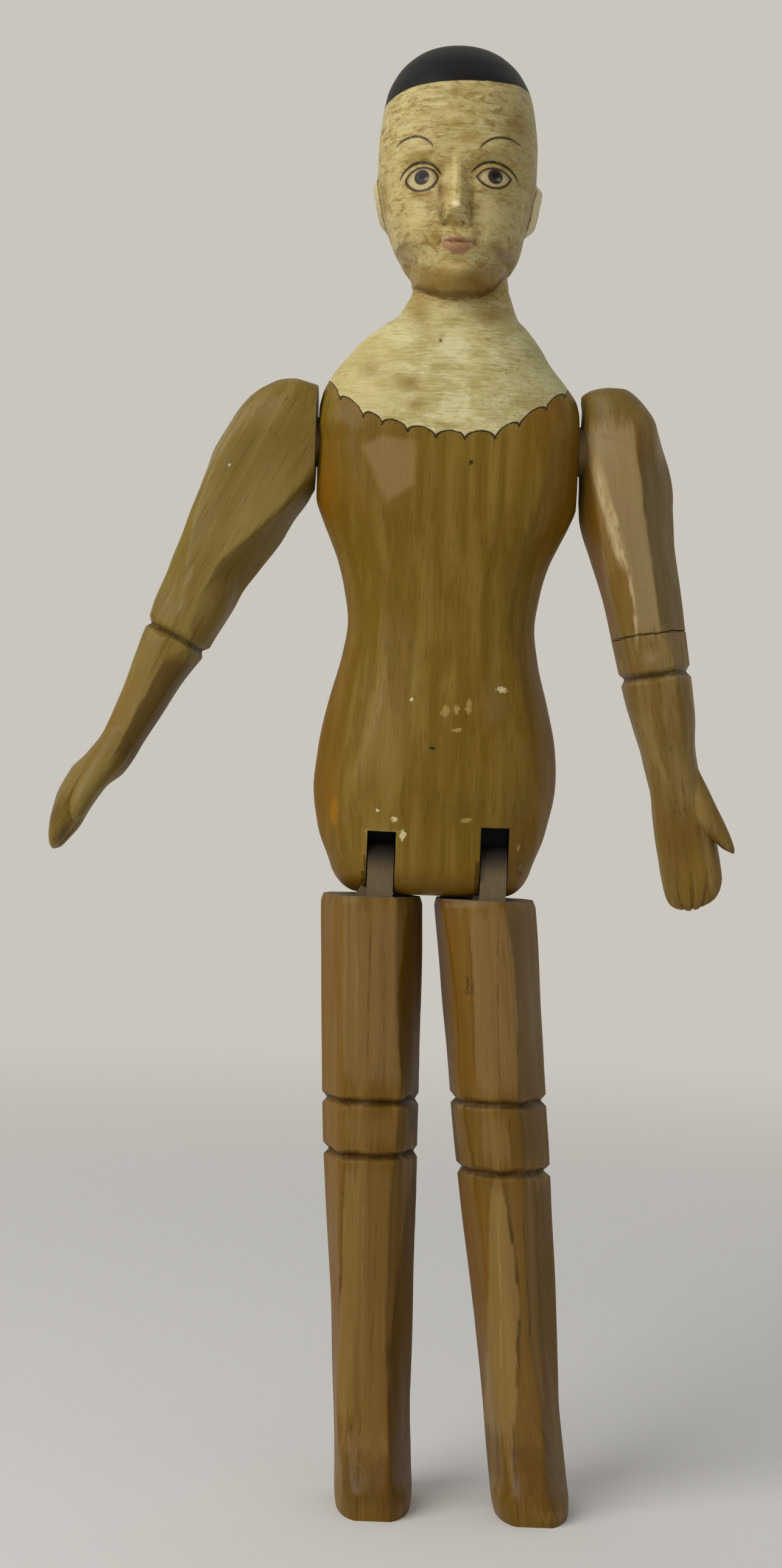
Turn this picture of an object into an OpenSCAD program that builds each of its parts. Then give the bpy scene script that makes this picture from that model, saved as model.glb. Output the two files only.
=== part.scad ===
// A jointed wooden peg doll, carved by knife and painted. The head and torso are one block.
// The arms turn on stout pegs in the shoulders. The legs have tongues that turn on pins in
// slots of the hips. The knees and elbows are only carved rings.
// The doll stands on its soles and faces -Y, with its right side at -X.

/* [Torso] */
// Height of the torso from its lower end to the tips of the shoulders
torso_h = 200; // [180:1:220]
// Width across the hips
hips_w = 98.8; // [90:0.2:106]
// Width across the waist
waist_w = 76; // [66:0.5:86]
// Width across the chest, below the arms
chest_w = 106.8; // [100:0.2:112]
// Depth of the belly, in front of the middle plane
belly_d = 30; // [29:0.5:34]
// Depth of the seat, behind the middle plane
seat_d = 31; // [27:0.5:35]
// Depth of the waist, to the front and to the back alike
waist_d = 23; // [19:0.5:27]
// Depth of the chest in front of the middle plane
chest_d = 29; // [26:0.5:32]
// Depth of the shoulder blades behind the middle plane
back_d = 25; // [22:0.5:28]

/* [Head] */
// Height from the tips of the shoulders to the chin
neck_h = 37; // [30:1:44]
// How far the neck stands to the left of the middle
neck_x = 2.6; // [0:0.2:4]
// How far the crown leans to the right of the middle
crown_x = 1.6; // [0:0.2:3]
// Width of the neck
neck_w = 39; // [34:0.5:44]
// Height of the head from chin to crown
head_h = 106; // [96:1:116]
// Width of the head above the ears
head_w = 64.6; // [56:0.2:72]
// Depth of the face in front of the middle plane
face_d = 36.5; // [33:0.5:40]
// Depth of the skull behind the middle plane
skull_d = 41; // [36:0.5:46]
// How far the tip of the nose stands out of the face
nose_d = 8; // [5:0.5:11]
// How far the ears stand out
ear_d = 2.6; // [1.5:0.1:4]

/* [Hips] */
// Distance of each slot from the middle of the doll
hip_x = 22.4; // [20:0.2:25]
// Distance of the hip pins in front of the middle plane
hip_y = 15.5; // [14.5:0.1:17]
// Radius of the torso's rounded lower front edge, about the hip pins
hip_r = 12.3; // [11:0.1:13]
// Gap between the top of a thigh and the torso
hip_gap = 0.9; // [0.5:0.1:2]
// Width of a slot
slot_w = 11.2; // [10:0.2:12.5]
// Height of a slot above its pin
slot_rise = 14; // [11:0.5:17]
// How much wider the right slot is at its mouth
right_flare = 5; // [2:0.2:6]
// How much wider the left slot is at its mouth
left_flare = 2.8; // [1.5:0.1:4]
// Diameter of a hip pin
hip_pin_d = 5; // [4:0.2:6]

/* [Legs] */
// Length of a leg from its sole to the top of the thigh
leg_h = 243.6; // [220:1:268]
// Width of a thigh
thigh_w = 39.6; // [36:0.2:42]
// Depth of a thigh
thigh_d = 38; // [34:0.5:40]
// Width of the leg at the knee
knee_w = 38; // [34:0.5:40]
// Depth of the leg at the knee
knee_d = 34.5; // [30:0.5:38]
// Width of the leg at the ankle
ankle_w = 31; // [27:0.5:34]
// Depth of the leg at the ankle
ankle_d = 30; // [26:0.5:33]
// Width of the foot
foot_w = 29.5; // [26:0.5:34]
// Length of the foot
foot_l = 45.5; // [40:0.5:52]
// Width of the flat front of the toes
toe_w = 14; // [9:0.5:18]
// Height of the flat front of the toes
toe_h = 9; // [6:0.5:12]
// Height of the lower knee ring of the right leg
right_knee_h = 140.5; // [130:0.5:150]
// Distance between the two knee rings of the right leg
right_knee_band = 21.5; // [14:0.5:28]
// Height of the lower knee ring of the left leg
left_knee_h = 135.5; // [130:0.5:150]
// Distance between the two knee rings of the left leg
left_knee_band = 27.5; // [14:0.5:30]
// Width of a carved ring
ring_w = 5; // [3:0.5:7]
// Depth of a carved ring
ring_d = 2.2; // [1:0.1:3]
// Inward lean of the right leg, in degrees
right_lean = 1.9; // [0:0.1:2.6]
// Outward lean of the left leg, in degrees
left_lean = 6; // [4:0.1:8]

/* [Arms] */
// Distance of the shoulder pegs below the tips of the shoulders
peg_drop = 18.5; // [16:0.5:21]
// Diameter of a shoulder peg
peg_d = 20; // [16:0.5:22]
// Length of a shoulder peg inside the torso
peg_in = 30; // [24:0.5:38]
// Length of a shoulder peg inside the arm
peg_out = 20; // [14:0.5:22]
// Depth of the flat seats of the arms, cut into the sides of the chest
seat_cut = 1; // [0.8:0.1:2]
// Gap between an arm and its flat seat
arm_gap = 1.5; // [1:0.1:3]
// Length of the upper arm, from the peg to the carved elbow ring
upper_arm_l = 91; // [82:1:100]
// Length from the elbow ring to the fingertips of the right arm
right_lower_arm_l = 99; // [90:1:110]
// Length from the elbow ring to the fingertips of the left arm
left_lower_arm_l = 95.5; // [90:0.5:106]
// Width of the upper arm
arm_w = 44; // [40:0.5:46]
// Depth of the upper arm
arm_d = 36; // [32:0.5:40]
// Width of the arm above the elbow ring
elbow_w = 30; // [26:0.5:33]
// Width of the wrist, across the palm
wrist_w = 21; // [18:0.5:24]
// Width of the hand across the palm
palm_w = 26.5; // [23:0.5:30]
// Thickness of the hand at the palm
palm_t = 13; // [10:0.5:15]
// Outward splay of the right arm, in degrees
right_splay = 26.5; // [22:0.5:30]
// Outward splay of the left arm, in degrees
left_splay = 10; // [8:0.5:14]

/* [Hidden] */

// Colours
body_brown = [0.50, 0.38, 0.18];
bare_wood = [0.48, 0.42, 0.31];

// Numbers of points round a ring and of rings along a piece
block_sides = 44;
limb_sides = 24;
thumb_sides = 12;
lower_rings = 26;
neck_rings = 9;
face_rings = 30;
crown_rings = 8;
arm_rings = 36;
thumb_rings = 7;
round_fn = 48;
face_gather = 16;  // degrees by which the points of the block are drawn to the front

// Fits and overruns
running = 0.08;    // radial play of a pin or peg that turns
snug = 0.05;       // radial play of a pin that is glued
side_play = 0.4;   // play of a tongue between the walls of its slot
end_play = 0.5;    // play past the end of a peg or tongue
overrun = 5;       // how far a cut runs past the surface

// Heights and places worked out from the sizes above
seat_x = chest_w / 2 - seat_cut;
hip_z = leg_h + hip_gap;
pin_z = hip_z + hip_r;
shoulder_z = hip_z + torso_h;
peg_z = shoulder_z - peg_drop;
chin_z = shoulder_z + neck_h;
arm_x = seat_x + arm_gap;
right_pivot_x = arm_x + arm_w * 0.29;
left_pivot_x = arm_x + arm_w * 0.42;

// The right arm and the nose reach out farthest, so the whole doll is moved by this much to
// stand over the middle of its footprint
right_arm_l = upper_arm_l + right_lower_arm_l;
left_arm_l = upper_arm_l + left_lower_arm_l;
right_reach = right_pivot_x + right_arm_l * sin(right_splay) + palm_t * 0.32;
left_reach = left_pivot_x + left_arm_l * sin(left_splay) + palm_w * 0.64;
mid_x = (right_reach - left_reach) / 2;
mid_y = (face_d + nose_d * 0.86 - skull_d) / 2;

// Slope of column c of table t at row i, kept level where the table turns
function slope(t, c, i) =
    let (n = len(t) - 1)
    let (a = i > 0 ? (t[i][c] - t[i - 1][c]) / (t[i][0] - t[i - 1][0]) : 0)
    let (b = i < n ? (t[i + 1][c] - t[i][c]) / (t[i + 1][0] - t[i][0]) : 0)
    i == 0 ? b : i == n ? a : a * b <= 0 ? 0 : 2 * a * b / (a + b);

// The row of table t after which place u lies
function row_of(t, u, i = 0) = i >= len(t) - 2 || u < t[i + 1][0] ? i : row_of(t, u, i + 1);

// Column c of table t at place u, along a smooth curve through the rows
function curve(t, c, u) =
    let (i = row_of(t, u), h = t[i + 1][0] - t[i][0])
    let (s = min(1, max(0, (u - t[i][0]) / h)))
    let (m0 = slope(t, c, i) * h, m1 = slope(t, c, i + 1) * h)
    let (s2 = s * s, s3 = s2 * s)
    (2 * s3 - 3 * s2 + 1) * t[i][c] + (s3 - 2 * s2 + s) * m0
    + (3 * s2 - 2 * s3) * t[i + 1][c] + (s3 - s2) * m1;

// A point of a squared oval: half width w, depth f to the front and b to the back
function oval_point(w, f, b, n, a) =
    let (c = cos(a), s = sin(a), p = 2 / n)
    [w * sign(c) * pow(abs(c), p), (s < 0 ? f : b) * sign(s) * pow(abs(s), p)];

// Even turns round a ring, drawn together at the front by the given degrees
function turns(n, gather = 0) = [for (i = [0:n - 1]) let (t = 360 * i / n) t - gather * cos(t)];

// A smooth bump of height 1 at d = 0 that ends at d = 1
function bump(d) = let (e = min(1, abs(d))) pow(1 - e * e, 2);

// A closed solid through rings of equally many points, with a point at each end
module loft(rings, low, high) {
    n = len(rings[0]);
    m = len(rings);
    points = concat([low], [for (r = rings) for (p = r) p], [high]);
    last = m * n + 1;
    first_fan = [for (j = [0:n - 1]) [0, 1 + j, 1 + (j + 1) % n]];
    last_fan = [for (j = [0:n - 1]) [last, last - n + (j + 1) % n, last - n + j]];
    sides_a = [for (i = [0:m - 2]) for (j = [0:n - 1])
        [1 + i * n + j, 1 + (i + 1) * n + j, 1 + i * n + (j + 1) % n]];
    sides_b = [for (i = [0:m - 2]) for (j = [0:n - 1])
        [1 + i * n + (j + 1) % n, 1 + (i + 1) * n + j, 1 + (i + 1) * n + (j + 1) % n]];
    polyhedron(points = points, faces = concat(first_fan, sides_a, sides_b, last_fan));
}

// Torso above the hip pins: height, half width, depth to the front, depth to the back, squareness
front_low = hip_y + hip_r;
torso_rows = [
    [pin_z, hips_w * 0.415, front_low, seat_d * 0.87, 2.6],
    [hip_z + torso_h * 0.13, hips_w * 0.47, front_low, seat_d * 0.96, 2.5],
    [hip_z + torso_h * 0.225, hips_w * 0.50, belly_d, seat_d, 2.4],
    [hip_z + torso_h * 0.295, hips_w * 0.489, belly_d * 0.97, seat_d * 0.95, 2.4],
    [hip_z + torso_h * 0.39, hips_w * 0.449, belly_d * 0.90, seat_d * 0.83, 2.4],
    [hip_z + torso_h * 0.475, waist_w * 0.526, waist_d * 1.08, waist_d * 0.98, 2.4],
    [hip_z + torso_h * 0.545, waist_w * 0.50, waist_d * 1.03, waist_d * 0.95, 2.4],
    [hip_z + torso_h * 0.615, waist_w * 0.526, chest_d * 0.86, back_d * 0.90, 2.4],
    [hip_z + torso_h * 0.67, chest_w * 0.403, chest_d * 0.91, back_d * 0.95, 2.4],
    [hip_z + torso_h * 0.71, chest_w * 0.435, chest_d * 0.95, back_d * 0.98, 2.5],
    [hip_z + torso_h * 0.75, chest_w * 0.468, chest_d * 0.98, back_d, 2.6],
    [hip_z + torso_h * 0.79, chest_w * 0.494, chest_d, back_d, 2.8],
    [hip_z + torso_h * 0.83, chest_w * 0.50, chest_d, back_d, 2.9],
    [hip_z + torso_h * 0.90, chest_w * 0.50, chest_d * 0.97, back_d * 0.98, 2.9],
    [hip_z + torso_h * 0.96, chest_w * 0.496, chest_d * 0.91, back_d * 0.94, 2.8],
    [shoulder_z, chest_w * 0.483, chest_d * 0.86, back_d * 0.90, 2.6],
    [shoulder_z + neck_h * 0.21, chest_w * 0.443, chest_d * 0.79, back_d * 0.84, 2.4],
    [shoulder_z + neck_h * 0.42, chest_w * 0.387, chest_d * 0.71, back_d * 0.80, 2.3],
    [shoulder_z + neck_h * 0.58, chest_w * 0.348, chest_d * 0.65, back_d * 0.80, 2.2],
    [shoulder_z + neck_h * 0.80, chest_w * 0.272, chest_d * 0.57, back_d * 0.80, 2.1],
    [shoulder_z + neck_h * 0.92, neck_w * 0.62, neck_w * 0.41, neck_w * 0.50, 2],
    [chin_z, neck_w * 0.545, neck_w * 0.40, neck_w * 0.50, 2]
];

// Head above the chin, in the same columns
head_rows = [
    [chin_z, neck_w * 0.545, neck_w * 0.40, neck_w * 0.50, 2],
    [chin_z + head_h * 0.025, neck_w * 0.52, face_d * 0.72, neck_w * 0.51, 1.9],
    [chin_z + head_h * 0.06, neck_w * 0.53, face_d * 0.87, skull_d * 0.50, 1.9],
    [chin_z + head_h * 0.10, head_w * 0.305, face_d * 0.92, skull_d * 0.54, 2],
    [chin_z + head_h * 0.165, head_w * 0.343, face_d * 0.94, skull_d * 0.64, 2.1],
    [chin_z + head_h * 0.22, head_w * 0.385, face_d * 0.955, skull_d * 0.73, 2.2],
    [chin_z + head_h * 0.287, head_w * 0.430, face_d * 0.97, skull_d * 0.82, 2.2],
    [chin_z + head_h * 0.39, head_w * 0.474, face_d * 0.98, skull_d * 0.93, 2.2],
    [chin_z + head_h * 0.495, head_w * 0.499, face_d, skull_d * 0.985, 2.2],
    [chin_z + head_h * 0.60, head_w * 0.498, face_d, skull_d, 2.2],
    [chin_z + head_h * 0.70, head_w * 0.482, face_d * 0.98, skull_d * 0.975, 2.2],
    [chin_z + head_h * 0.80, head_w * 0.455, face_d * 0.905, skull_d * 0.885, 2.1],
    [chin_z + head_h * 0.88, head_w * 0.396, face_d * 0.76, skull_d * 0.73, 2],
    [chin_z + head_h * 0.94, head_w * 0.306, face_d * 0.56, skull_d * 0.54, 2],
    [chin_z + head_h * 0.98, head_w * 0.188, face_d * 0.33, skull_d * 0.32, 2],
    [chin_z + head_h, 0, 0, 0, 2]
];

// Places on the face, as heights over the chin and distances from the middle
mouth_h = head_h * 0.172;
nose_h = head_h * 0.29;
eye_h = head_h * 0.42;
brow_h = head_h * 0.53;
eye_x = head_w * 0.24;
ear_h = head_h * 0.41;

// How far the face stands out at distance x from the middle and height h over the chin
function face(x, h) =
    let (bridge = min(1, max(0, (eye_h + head_h * 0.05 - h) / (eye_h + head_h * 0.05 - nose_h))))
    let (tip = h < nose_h ? bump((nose_h - h) / (head_h * 0.045)) : 1)
    let (nose = h > eye_h + head_h * 0.05 ? 0 : (0.25 + 0.75 * bridge) * tip)
    let (side = bump(x / (head_w * (0.085 + 0.05 * bridge))))
    let (socket = bump((abs(x) - eye_x) / (head_w * 0.17)) * bump((h - eye_h) / (head_h * 0.085)))
    let (ball = bump((abs(x) - eye_x) / (head_w * 0.10)) * bump((h - eye_h) / (head_h * 0.05)))
    let (brow = bump((abs(x) - eye_x) / (head_w * 0.25)) * bump((h - brow_h) / (head_h * 0.06)))
    let (lips = bump(x / (head_w * 0.15)) * bump((h - mouth_h) / (head_h * 0.055)))
    let (chin = bump(x / (head_w * 0.17)) * bump((h - head_h * 0.065) / (head_h * 0.06)))
    let (cheek = bump((abs(x) - head_w * 0.26) / (head_w * 0.17))
        * bump((h - head_h * 0.27) / (head_h * 0.13)))
    nose_d * (nose * side - 0.34 * socket + 0.19 * ball + 0.12 * brow + 0.28 * lips
        + 0.25 * chin + 0.16 * cheek);

// How far an ear stands out at depth y and height h over the chin
function ear(y, h) =
    ear_d * bump((y - skull_d * 0.12) / (head_w * 0.12)) * bump((h - ear_h) / (head_h * 0.12));

// How far the block's middle line stands aside at height z: the neck to the left, the crown to
// the right
function aside(z) =
    neck_x * bump((z - chin_z) / (neck_h * 0.95)) - crown_x * max(0, z - chin_z) / head_h;

function ring_at(z, w, f, b, n) =
    [for (a = turns(block_sides, face_gather)) let (p = oval_point(w, f, b, n, a)) [p[0] + aside(z), p[1], z]];

// A ring of the lower end, where the front edge is rounded about the hip pins
function hem_ring(a) =
    let (r = hip_r * (1 - cos(a)), g = sin(a))
    ring_at(hip_z + r, hips_w * (0.305 + 0.11 * g), hip_y + hip_r * g, seat_d * (0.47 + 0.40 * g), 2.6);

function torso_ring(z) =
    ring_at(z, curve(torso_rows, 1, z), curve(torso_rows, 2, z), curve(torso_rows, 3, z),
        curve(torso_rows, 4, z));

function head_ring(z) =
    let (h = z - chin_z)
    let (w = curve(head_rows, 1, z), f = curve(head_rows, 2, z))
    let (b = curve(head_rows, 3, z), n = curve(head_rows, 4, z))
    [for (a = turns(block_sides, face_gather))
        let (p = oval_point(w, f, b, n, a))
        [p[0] + sign(p[0]) * ear(p[1], h) + aside(z), p[1] - (p[1] < 0 ? face(p[0], h) : 0), z]];

face_top_share = 0.8;
block_rings = concat(
    [for (a = [0, 30, 60]) hem_ring(a)],
    [for (i = [0:lower_rings]) torso_ring(pin_z + (shoulder_z - pin_z) * i / lower_rings)],
    [for (i = [1:neck_rings]) torso_ring(shoulder_z + neck_h * i / neck_rings)],
    [for (i = [1:face_rings]) head_ring(chin_z + head_h * face_top_share * i / face_rings)],
    [for (i = [1:crown_rings - 1])
        head_ring(chin_z + head_h * (face_top_share
            + (1 - face_top_share) * sin(90 * i / crown_rings)))]
);

// Places of the small pins that keep the shoulder pegs in
neck_r = peg_d * 0.35;
keeper_d = peg_d * 0.15;
keeper_x = seat_x - peg_in * 0.66;
keeper_z = peg_z + neck_r + keeper_d / 2 + running;
keeper_back = back_d * 0.86;
keeper_front = -peg_d * 0.65;
groove_w = keeper_d * 1.2;

// Places of the hip pins
hip_pin_out = hips_w * 0.362;
hip_pin_in = hip_x - slot_w / 2 - hip_pin_d * 1.7;
tongue_r = peg_d * 0.42;

// The tongue's wide root starts this far in front of the pin and ends this far below it
wedge_front = tongue_r * 0.3;
wedge_top = hip_r * 0.45;

// The mouth of a slot, turned about the pin, so that the tongue's wide root passes
module slot_flare(flare) {
    reach = hip_r + overrun;
    root = slot_w / 2 + flare * reach / hip_r;
    rotate([0, -90, 0])
        rotate_extrude($fn = round_fn * 2)
            polygon([[0, 0], [hip_r * 0.35, slot_w / 2], [reach, root], [reach, 0]]);
}

module slot(x, flare) {
    translate([x - slot_w / 2, -hip_y - hip_r - overrun, hip_z - overrun])
        cube([slot_w, hip_r + overrun + tongue_r + end_play, pin_z + slot_rise - hip_z + overrun]);
    intersection() {
        translate([x, -hip_y, pin_z])
            slot_flare(flare);
        translate([x - slot_w / 2 - 2 * flare, -hip_y - hip_r - overrun, hip_z - overrun])
            cube([
                slot_w / 2 + 2 * flare,
                hip_r + overrun + tongue_r + end_play,
                hip_r + overrun + wedge_front + end_play
            ]);
    }
}

module along_x(d, x0, x1) {
    translate([x0, 0, 0])
        rotate([0, 90, 0])
            cylinder(d = d, h = x1 - x0, $fn = round_fn);
}

module along_y(d, y0, y1) {
    translate([0, y0, 0])
        rotate([-90, 0, 0])
            cylinder(d = d, h = y1 - y0, $fn = round_fn);
}

module place() {
    translate([mid_x, mid_y, 0])
        children();
}

module head_and_torso() {
    color(body_brown)
        place()
            difference() {
                loft(block_rings, [0, 0, hip_z], [-crown_x, 0, chin_z + head_h]);
                slot(-hip_x, right_flare);
                slot(hip_x, left_flare);
                for (side = [-1, 1]) {
                    mirror([side < 0 ? 1 : 0, 0, 0]) {
                        translate([0, -hip_y, pin_z])
                            along_x(hip_pin_d + 2 * snug, hip_pin_in - snug, hips_w);
                        translate([0, 0, peg_z])
                            along_x(peg_d + 2 * running, seat_x - peg_in - end_play, seat_x + overrun);
                        translate([0, 0, peg_z])
                            along_x(peg_d * 3, seat_x, seat_x + overrun);
                        translate([keeper_x, 0, keeper_z])
                            along_y(keeper_d + 2 * snug, keeper_front - snug, back_d + overrun);
                    }
                }
            }
}

module shoulder_pin(side) {
    color(bare_wood)
        place()
            translate([side * keeper_x, 0, keeper_z])
                along_y(keeper_d, keeper_front, keeper_back);
}

module hip_pin(side) {
    color(bare_wood)
        place()
            mirror([side < 0 ? 1 : 0, 0, 0])
                translate([0, -hip_y, pin_z])
                    along_x(hip_pin_d, hip_pin_in, hip_pin_out);
}

module shoulder_peg(side) {
    color(bare_wood)
        place()
            mirror([side < 0 ? 1 : 0, 0, 0])
                translate([0, 0, peg_z])
                    difference() {
                        along_x(peg_d, seat_x - peg_in, arm_x + peg_out);
                        translate([keeper_x - groove_w / 2, 0, 0])
                            rotate([0, 90, 0])
                                rotate_extrude($fn = round_fn)
                                    translate([neck_r, 0])
                                        square([peg_d, groove_w]);
                    }
}

// The toes are cut off flat where the foot's oval is as wide as the toes
sole_square = 2.4;
toe_y = foot_l * 0.61;
heel_y = foot_l - toe_y;
toe_f = toe_y / pow(1 - pow(toe_w / foot_w, sole_square), 1 / sole_square);
thigh_x = hip_x + thigh_w * 0.012;
leg_y = hip_y * 0.5;

// Leg above the sole, with its lower and upper knee rings at k0 and k1:
// height, half width, depth to the front, depth to the back, squareness
function leg_rows(k0, k1) = [
    [0, foot_w * 0.485, toe_f, heel_y * 0.95, sole_square],
    [toe_h * 0.35, foot_w * 0.50, toe_f, heel_y, sole_square],
    [toe_h, foot_w * 0.51, toe_f * 0.98, heel_y, sole_square],
    [toe_h * 2.2, foot_w * 0.515, toe_y * 0.85, heel_y * 0.98, 2.5],
    [toe_h * 4.2, ankle_w * 0.50, toe_y * 0.62, heel_y * 0.90, 2.6],
    [toe_h * 6, ankle_w * 0.515, ankle_d * 0.53, ankle_d * 0.52, 2.7],
    [k0 * 0.54, ankle_w * 0.54, ankle_d * 0.50, ankle_d * 0.53, 2.8],
    [k0 * 0.76, knee_w * 0.468, knee_d * 0.47, knee_d * 0.50, 2.9],
    [k0, knee_w * 0.485, knee_d * 0.49, knee_d * 0.50, 3],
    [k1, knee_w * 0.492, knee_d * 0.51, knee_d * 0.50, 3],
    [leg_h * 0.75, thigh_w * 0.477, thigh_d * 0.48, thigh_d * 0.48, 3],
    [leg_h * 0.88, thigh_w * 0.492, thigh_d * 0.50, thigh_d * 0.50, 3],
    [leg_h * 0.985, thigh_w * 0.50, thigh_d * 0.50, thigh_d * 0.50, 3],
    [leg_h, thigh_w * 0.475, thigh_d * 0.475, thigh_d * 0.475, 3]
];

// How deep a carved ring cuts at distance d from its middle
function ring_cut(d) = ring_d * max(0, 1 - abs(d) / (ring_w / 2));

function leg_ring(z, k0, k1) =
    let (t = leg_rows(k0, k1), cut = ring_cut(z - k0) + ring_cut(z - k1))
    let (w = curve(t, 1, z) - cut, f = curve(t, 2, z) - cut)
    let (b = curve(t, 3, z) - cut, n = curve(t, 4, z))
    [for (a = turns(limb_sides)) let (p = oval_point(w, f, b, n, a)) [p[0], max(p[1], -toe_y), z]];

function between(a, b, n) = [for (i = [1:n - 1]) a + (b - a) * i / n];
function leg_levels(k0, k1) = concat(
    toe_h * [0, 0.35, 1, 1.6, 2.2, 3.2, 4.2, 5, 6],
    between(toe_h * 6, k0 - ring_w / 2, 7),
    [k0 - ring_w / 2, k0, k0 + ring_w / 2],
    between(k0 + ring_w / 2, k1 - ring_w / 2, 3),
    [k1 - ring_w / 2, k1, k1 + ring_w / 2],
    between(k1 + ring_w / 2, leg_h * 0.985, 7),
    [leg_h * 0.985, leg_h]
);

// A tongue, with its wide root on the side of the slot's flare
module tongue(x, flare) {
    w = slot_w - 2 * side_play;
    depth = 2 * tongue_r;
    root = leg_h - thigh_w * 0.2;
    translate([x - w / 2, -hip_y, pin_z])
        along_x(depth, 0, w);
    translate([x - w / 2, -hip_y - tongue_r, root])
        cube([w, depth, pin_z - root]);
    translate([x, -hip_y + tongue_r, 0])
        rotate([90, 0, 0])
            linear_extrude(tongue_r + wedge_front)
                polygon([
                    [0, root],
                    [-w / 2 - 0.9 * flare, root],
                    [-w / 2 - 0.9 * flare, leg_h + hip_gap / 2],
                    [-w / 2, pin_z - wedge_top],
                    [0, pin_z - wedge_top]
                ]);
}

module leg(side, lean, flare, k0, k1) {
    rings = [for (z = leg_levels(k0, k1))
        let (x = side * thigh_x + tan(lean) * (leg_h - z))
        [for (p = leg_ring(z, k0, k1)) [p[0] + x, p[1] - leg_y, p[2]]]];
    sole_x = side * thigh_x + tan(lean) * leg_h;
    color(body_brown)
        place()
            difference() {
                union() {
                    loft(rings, [sole_x, -leg_y, 0], [side * thigh_x, -leg_y, leg_h]);
                    tongue(side * hip_x, flare);
                }
                translate([0, -hip_y, pin_z])
                    along_x(hip_pin_d + 2 * running, side * hip_x - thigh_w, side * hip_x + thigh_w);
            }
}

// Arms below the peg: distance along the arm, offset outward, half width, half depth, squareness.
// The right hand is seen edge on, the left one lies across, with its palm to the front.
function right_s(share) = upper_arm_l + right_lower_arm_l * share;
function left_s(share) = upper_arm_l + left_lower_arm_l * share;
right_rows = [
    [-arm_w * 0.59, -arm_w * 0.09, arm_w * 0.11, arm_d * 0.12, 2],
    [-arm_w * 0.54, -arm_w * 0.034, arm_w * 0.23, arm_d * 0.29, 2.1],
    [-arm_w * 0.445, -arm_w * 0.034, arm_w * 0.357, arm_d * 0.38, 2.3],
    [-arm_w * 0.30, -arm_w * 0.01, arm_w * 0.43, arm_d * 0.45, 2.4],
    [-arm_w * 0.18, 0, arm_w * 0.473, arm_d * 0.48, 2.5],
    [arm_w * 0.02, arm_w * 0.01, arm_w * 0.502, arm_d * 0.51, 2.6],
    [arm_w * 0.35, arm_w * 0.032, arm_w * 0.503, arm_d * 0.51, 2.6],
    [arm_w * 0.59, arm_w * 0.032, arm_w * 0.47, arm_d * 0.50, 2.7],
    [upper_arm_l * 0.42, arm_w * 0.02, arm_w * 0.444, arm_d * 0.48, 2.7],
    [upper_arm_l * 0.56, arm_w * 0.02, arm_w * 0.40, arm_d * 0.45, 2.7],
    [upper_arm_l * 0.67, arm_w * 0.028, elbow_w * 0.545, arm_d * 0.43, 2.7],
    [upper_arm_l * 0.78, elbow_w * 0.02, elbow_w * 0.517, arm_d * 0.42, 2.7],
    [upper_arm_l * 0.89, elbow_w * 0.02, elbow_w * 0.493, arm_d * 0.40, 2.7],
    [upper_arm_l, 0, elbow_w * 0.452, arm_d * 0.39, 2.7],
    [right_s(0.14), 0, elbow_w * 0.375, arm_d * 0.37, 2.6],
    [right_s(0.32), -palm_t * 0.05, wrist_w * 0.445, wrist_w * 0.56, 2.4],
    [right_s(0.48), -palm_t * 0.05, wrist_w * 0.39, wrist_w * 0.50, 2.3],
    [right_s(0.59), 0, wrist_w * 0.40, palm_w * 0.44, 2.3],
    [right_s(0.68), palm_t * 0.24, palm_t * 0.56, palm_w * 0.49, 2.4],
    [right_s(0.79), palm_t * 0.42, palm_t * 0.47, palm_w * 0.50, 2.5],
    [right_s(0.87), palm_t * 0.44, palm_t * 0.40, palm_w * 0.47, 2.5],
    [right_s(0.94), palm_t * 0.36, palm_t * 0.29, palm_w * 0.40, 2.5],
    [right_s(0.985), palm_t * 0.28, palm_t * 0.16, palm_w * 0.24, 2.3],
    [right_s(1), palm_t * 0.26, palm_t * 0.05, palm_w * 0.08, 2]
];
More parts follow.
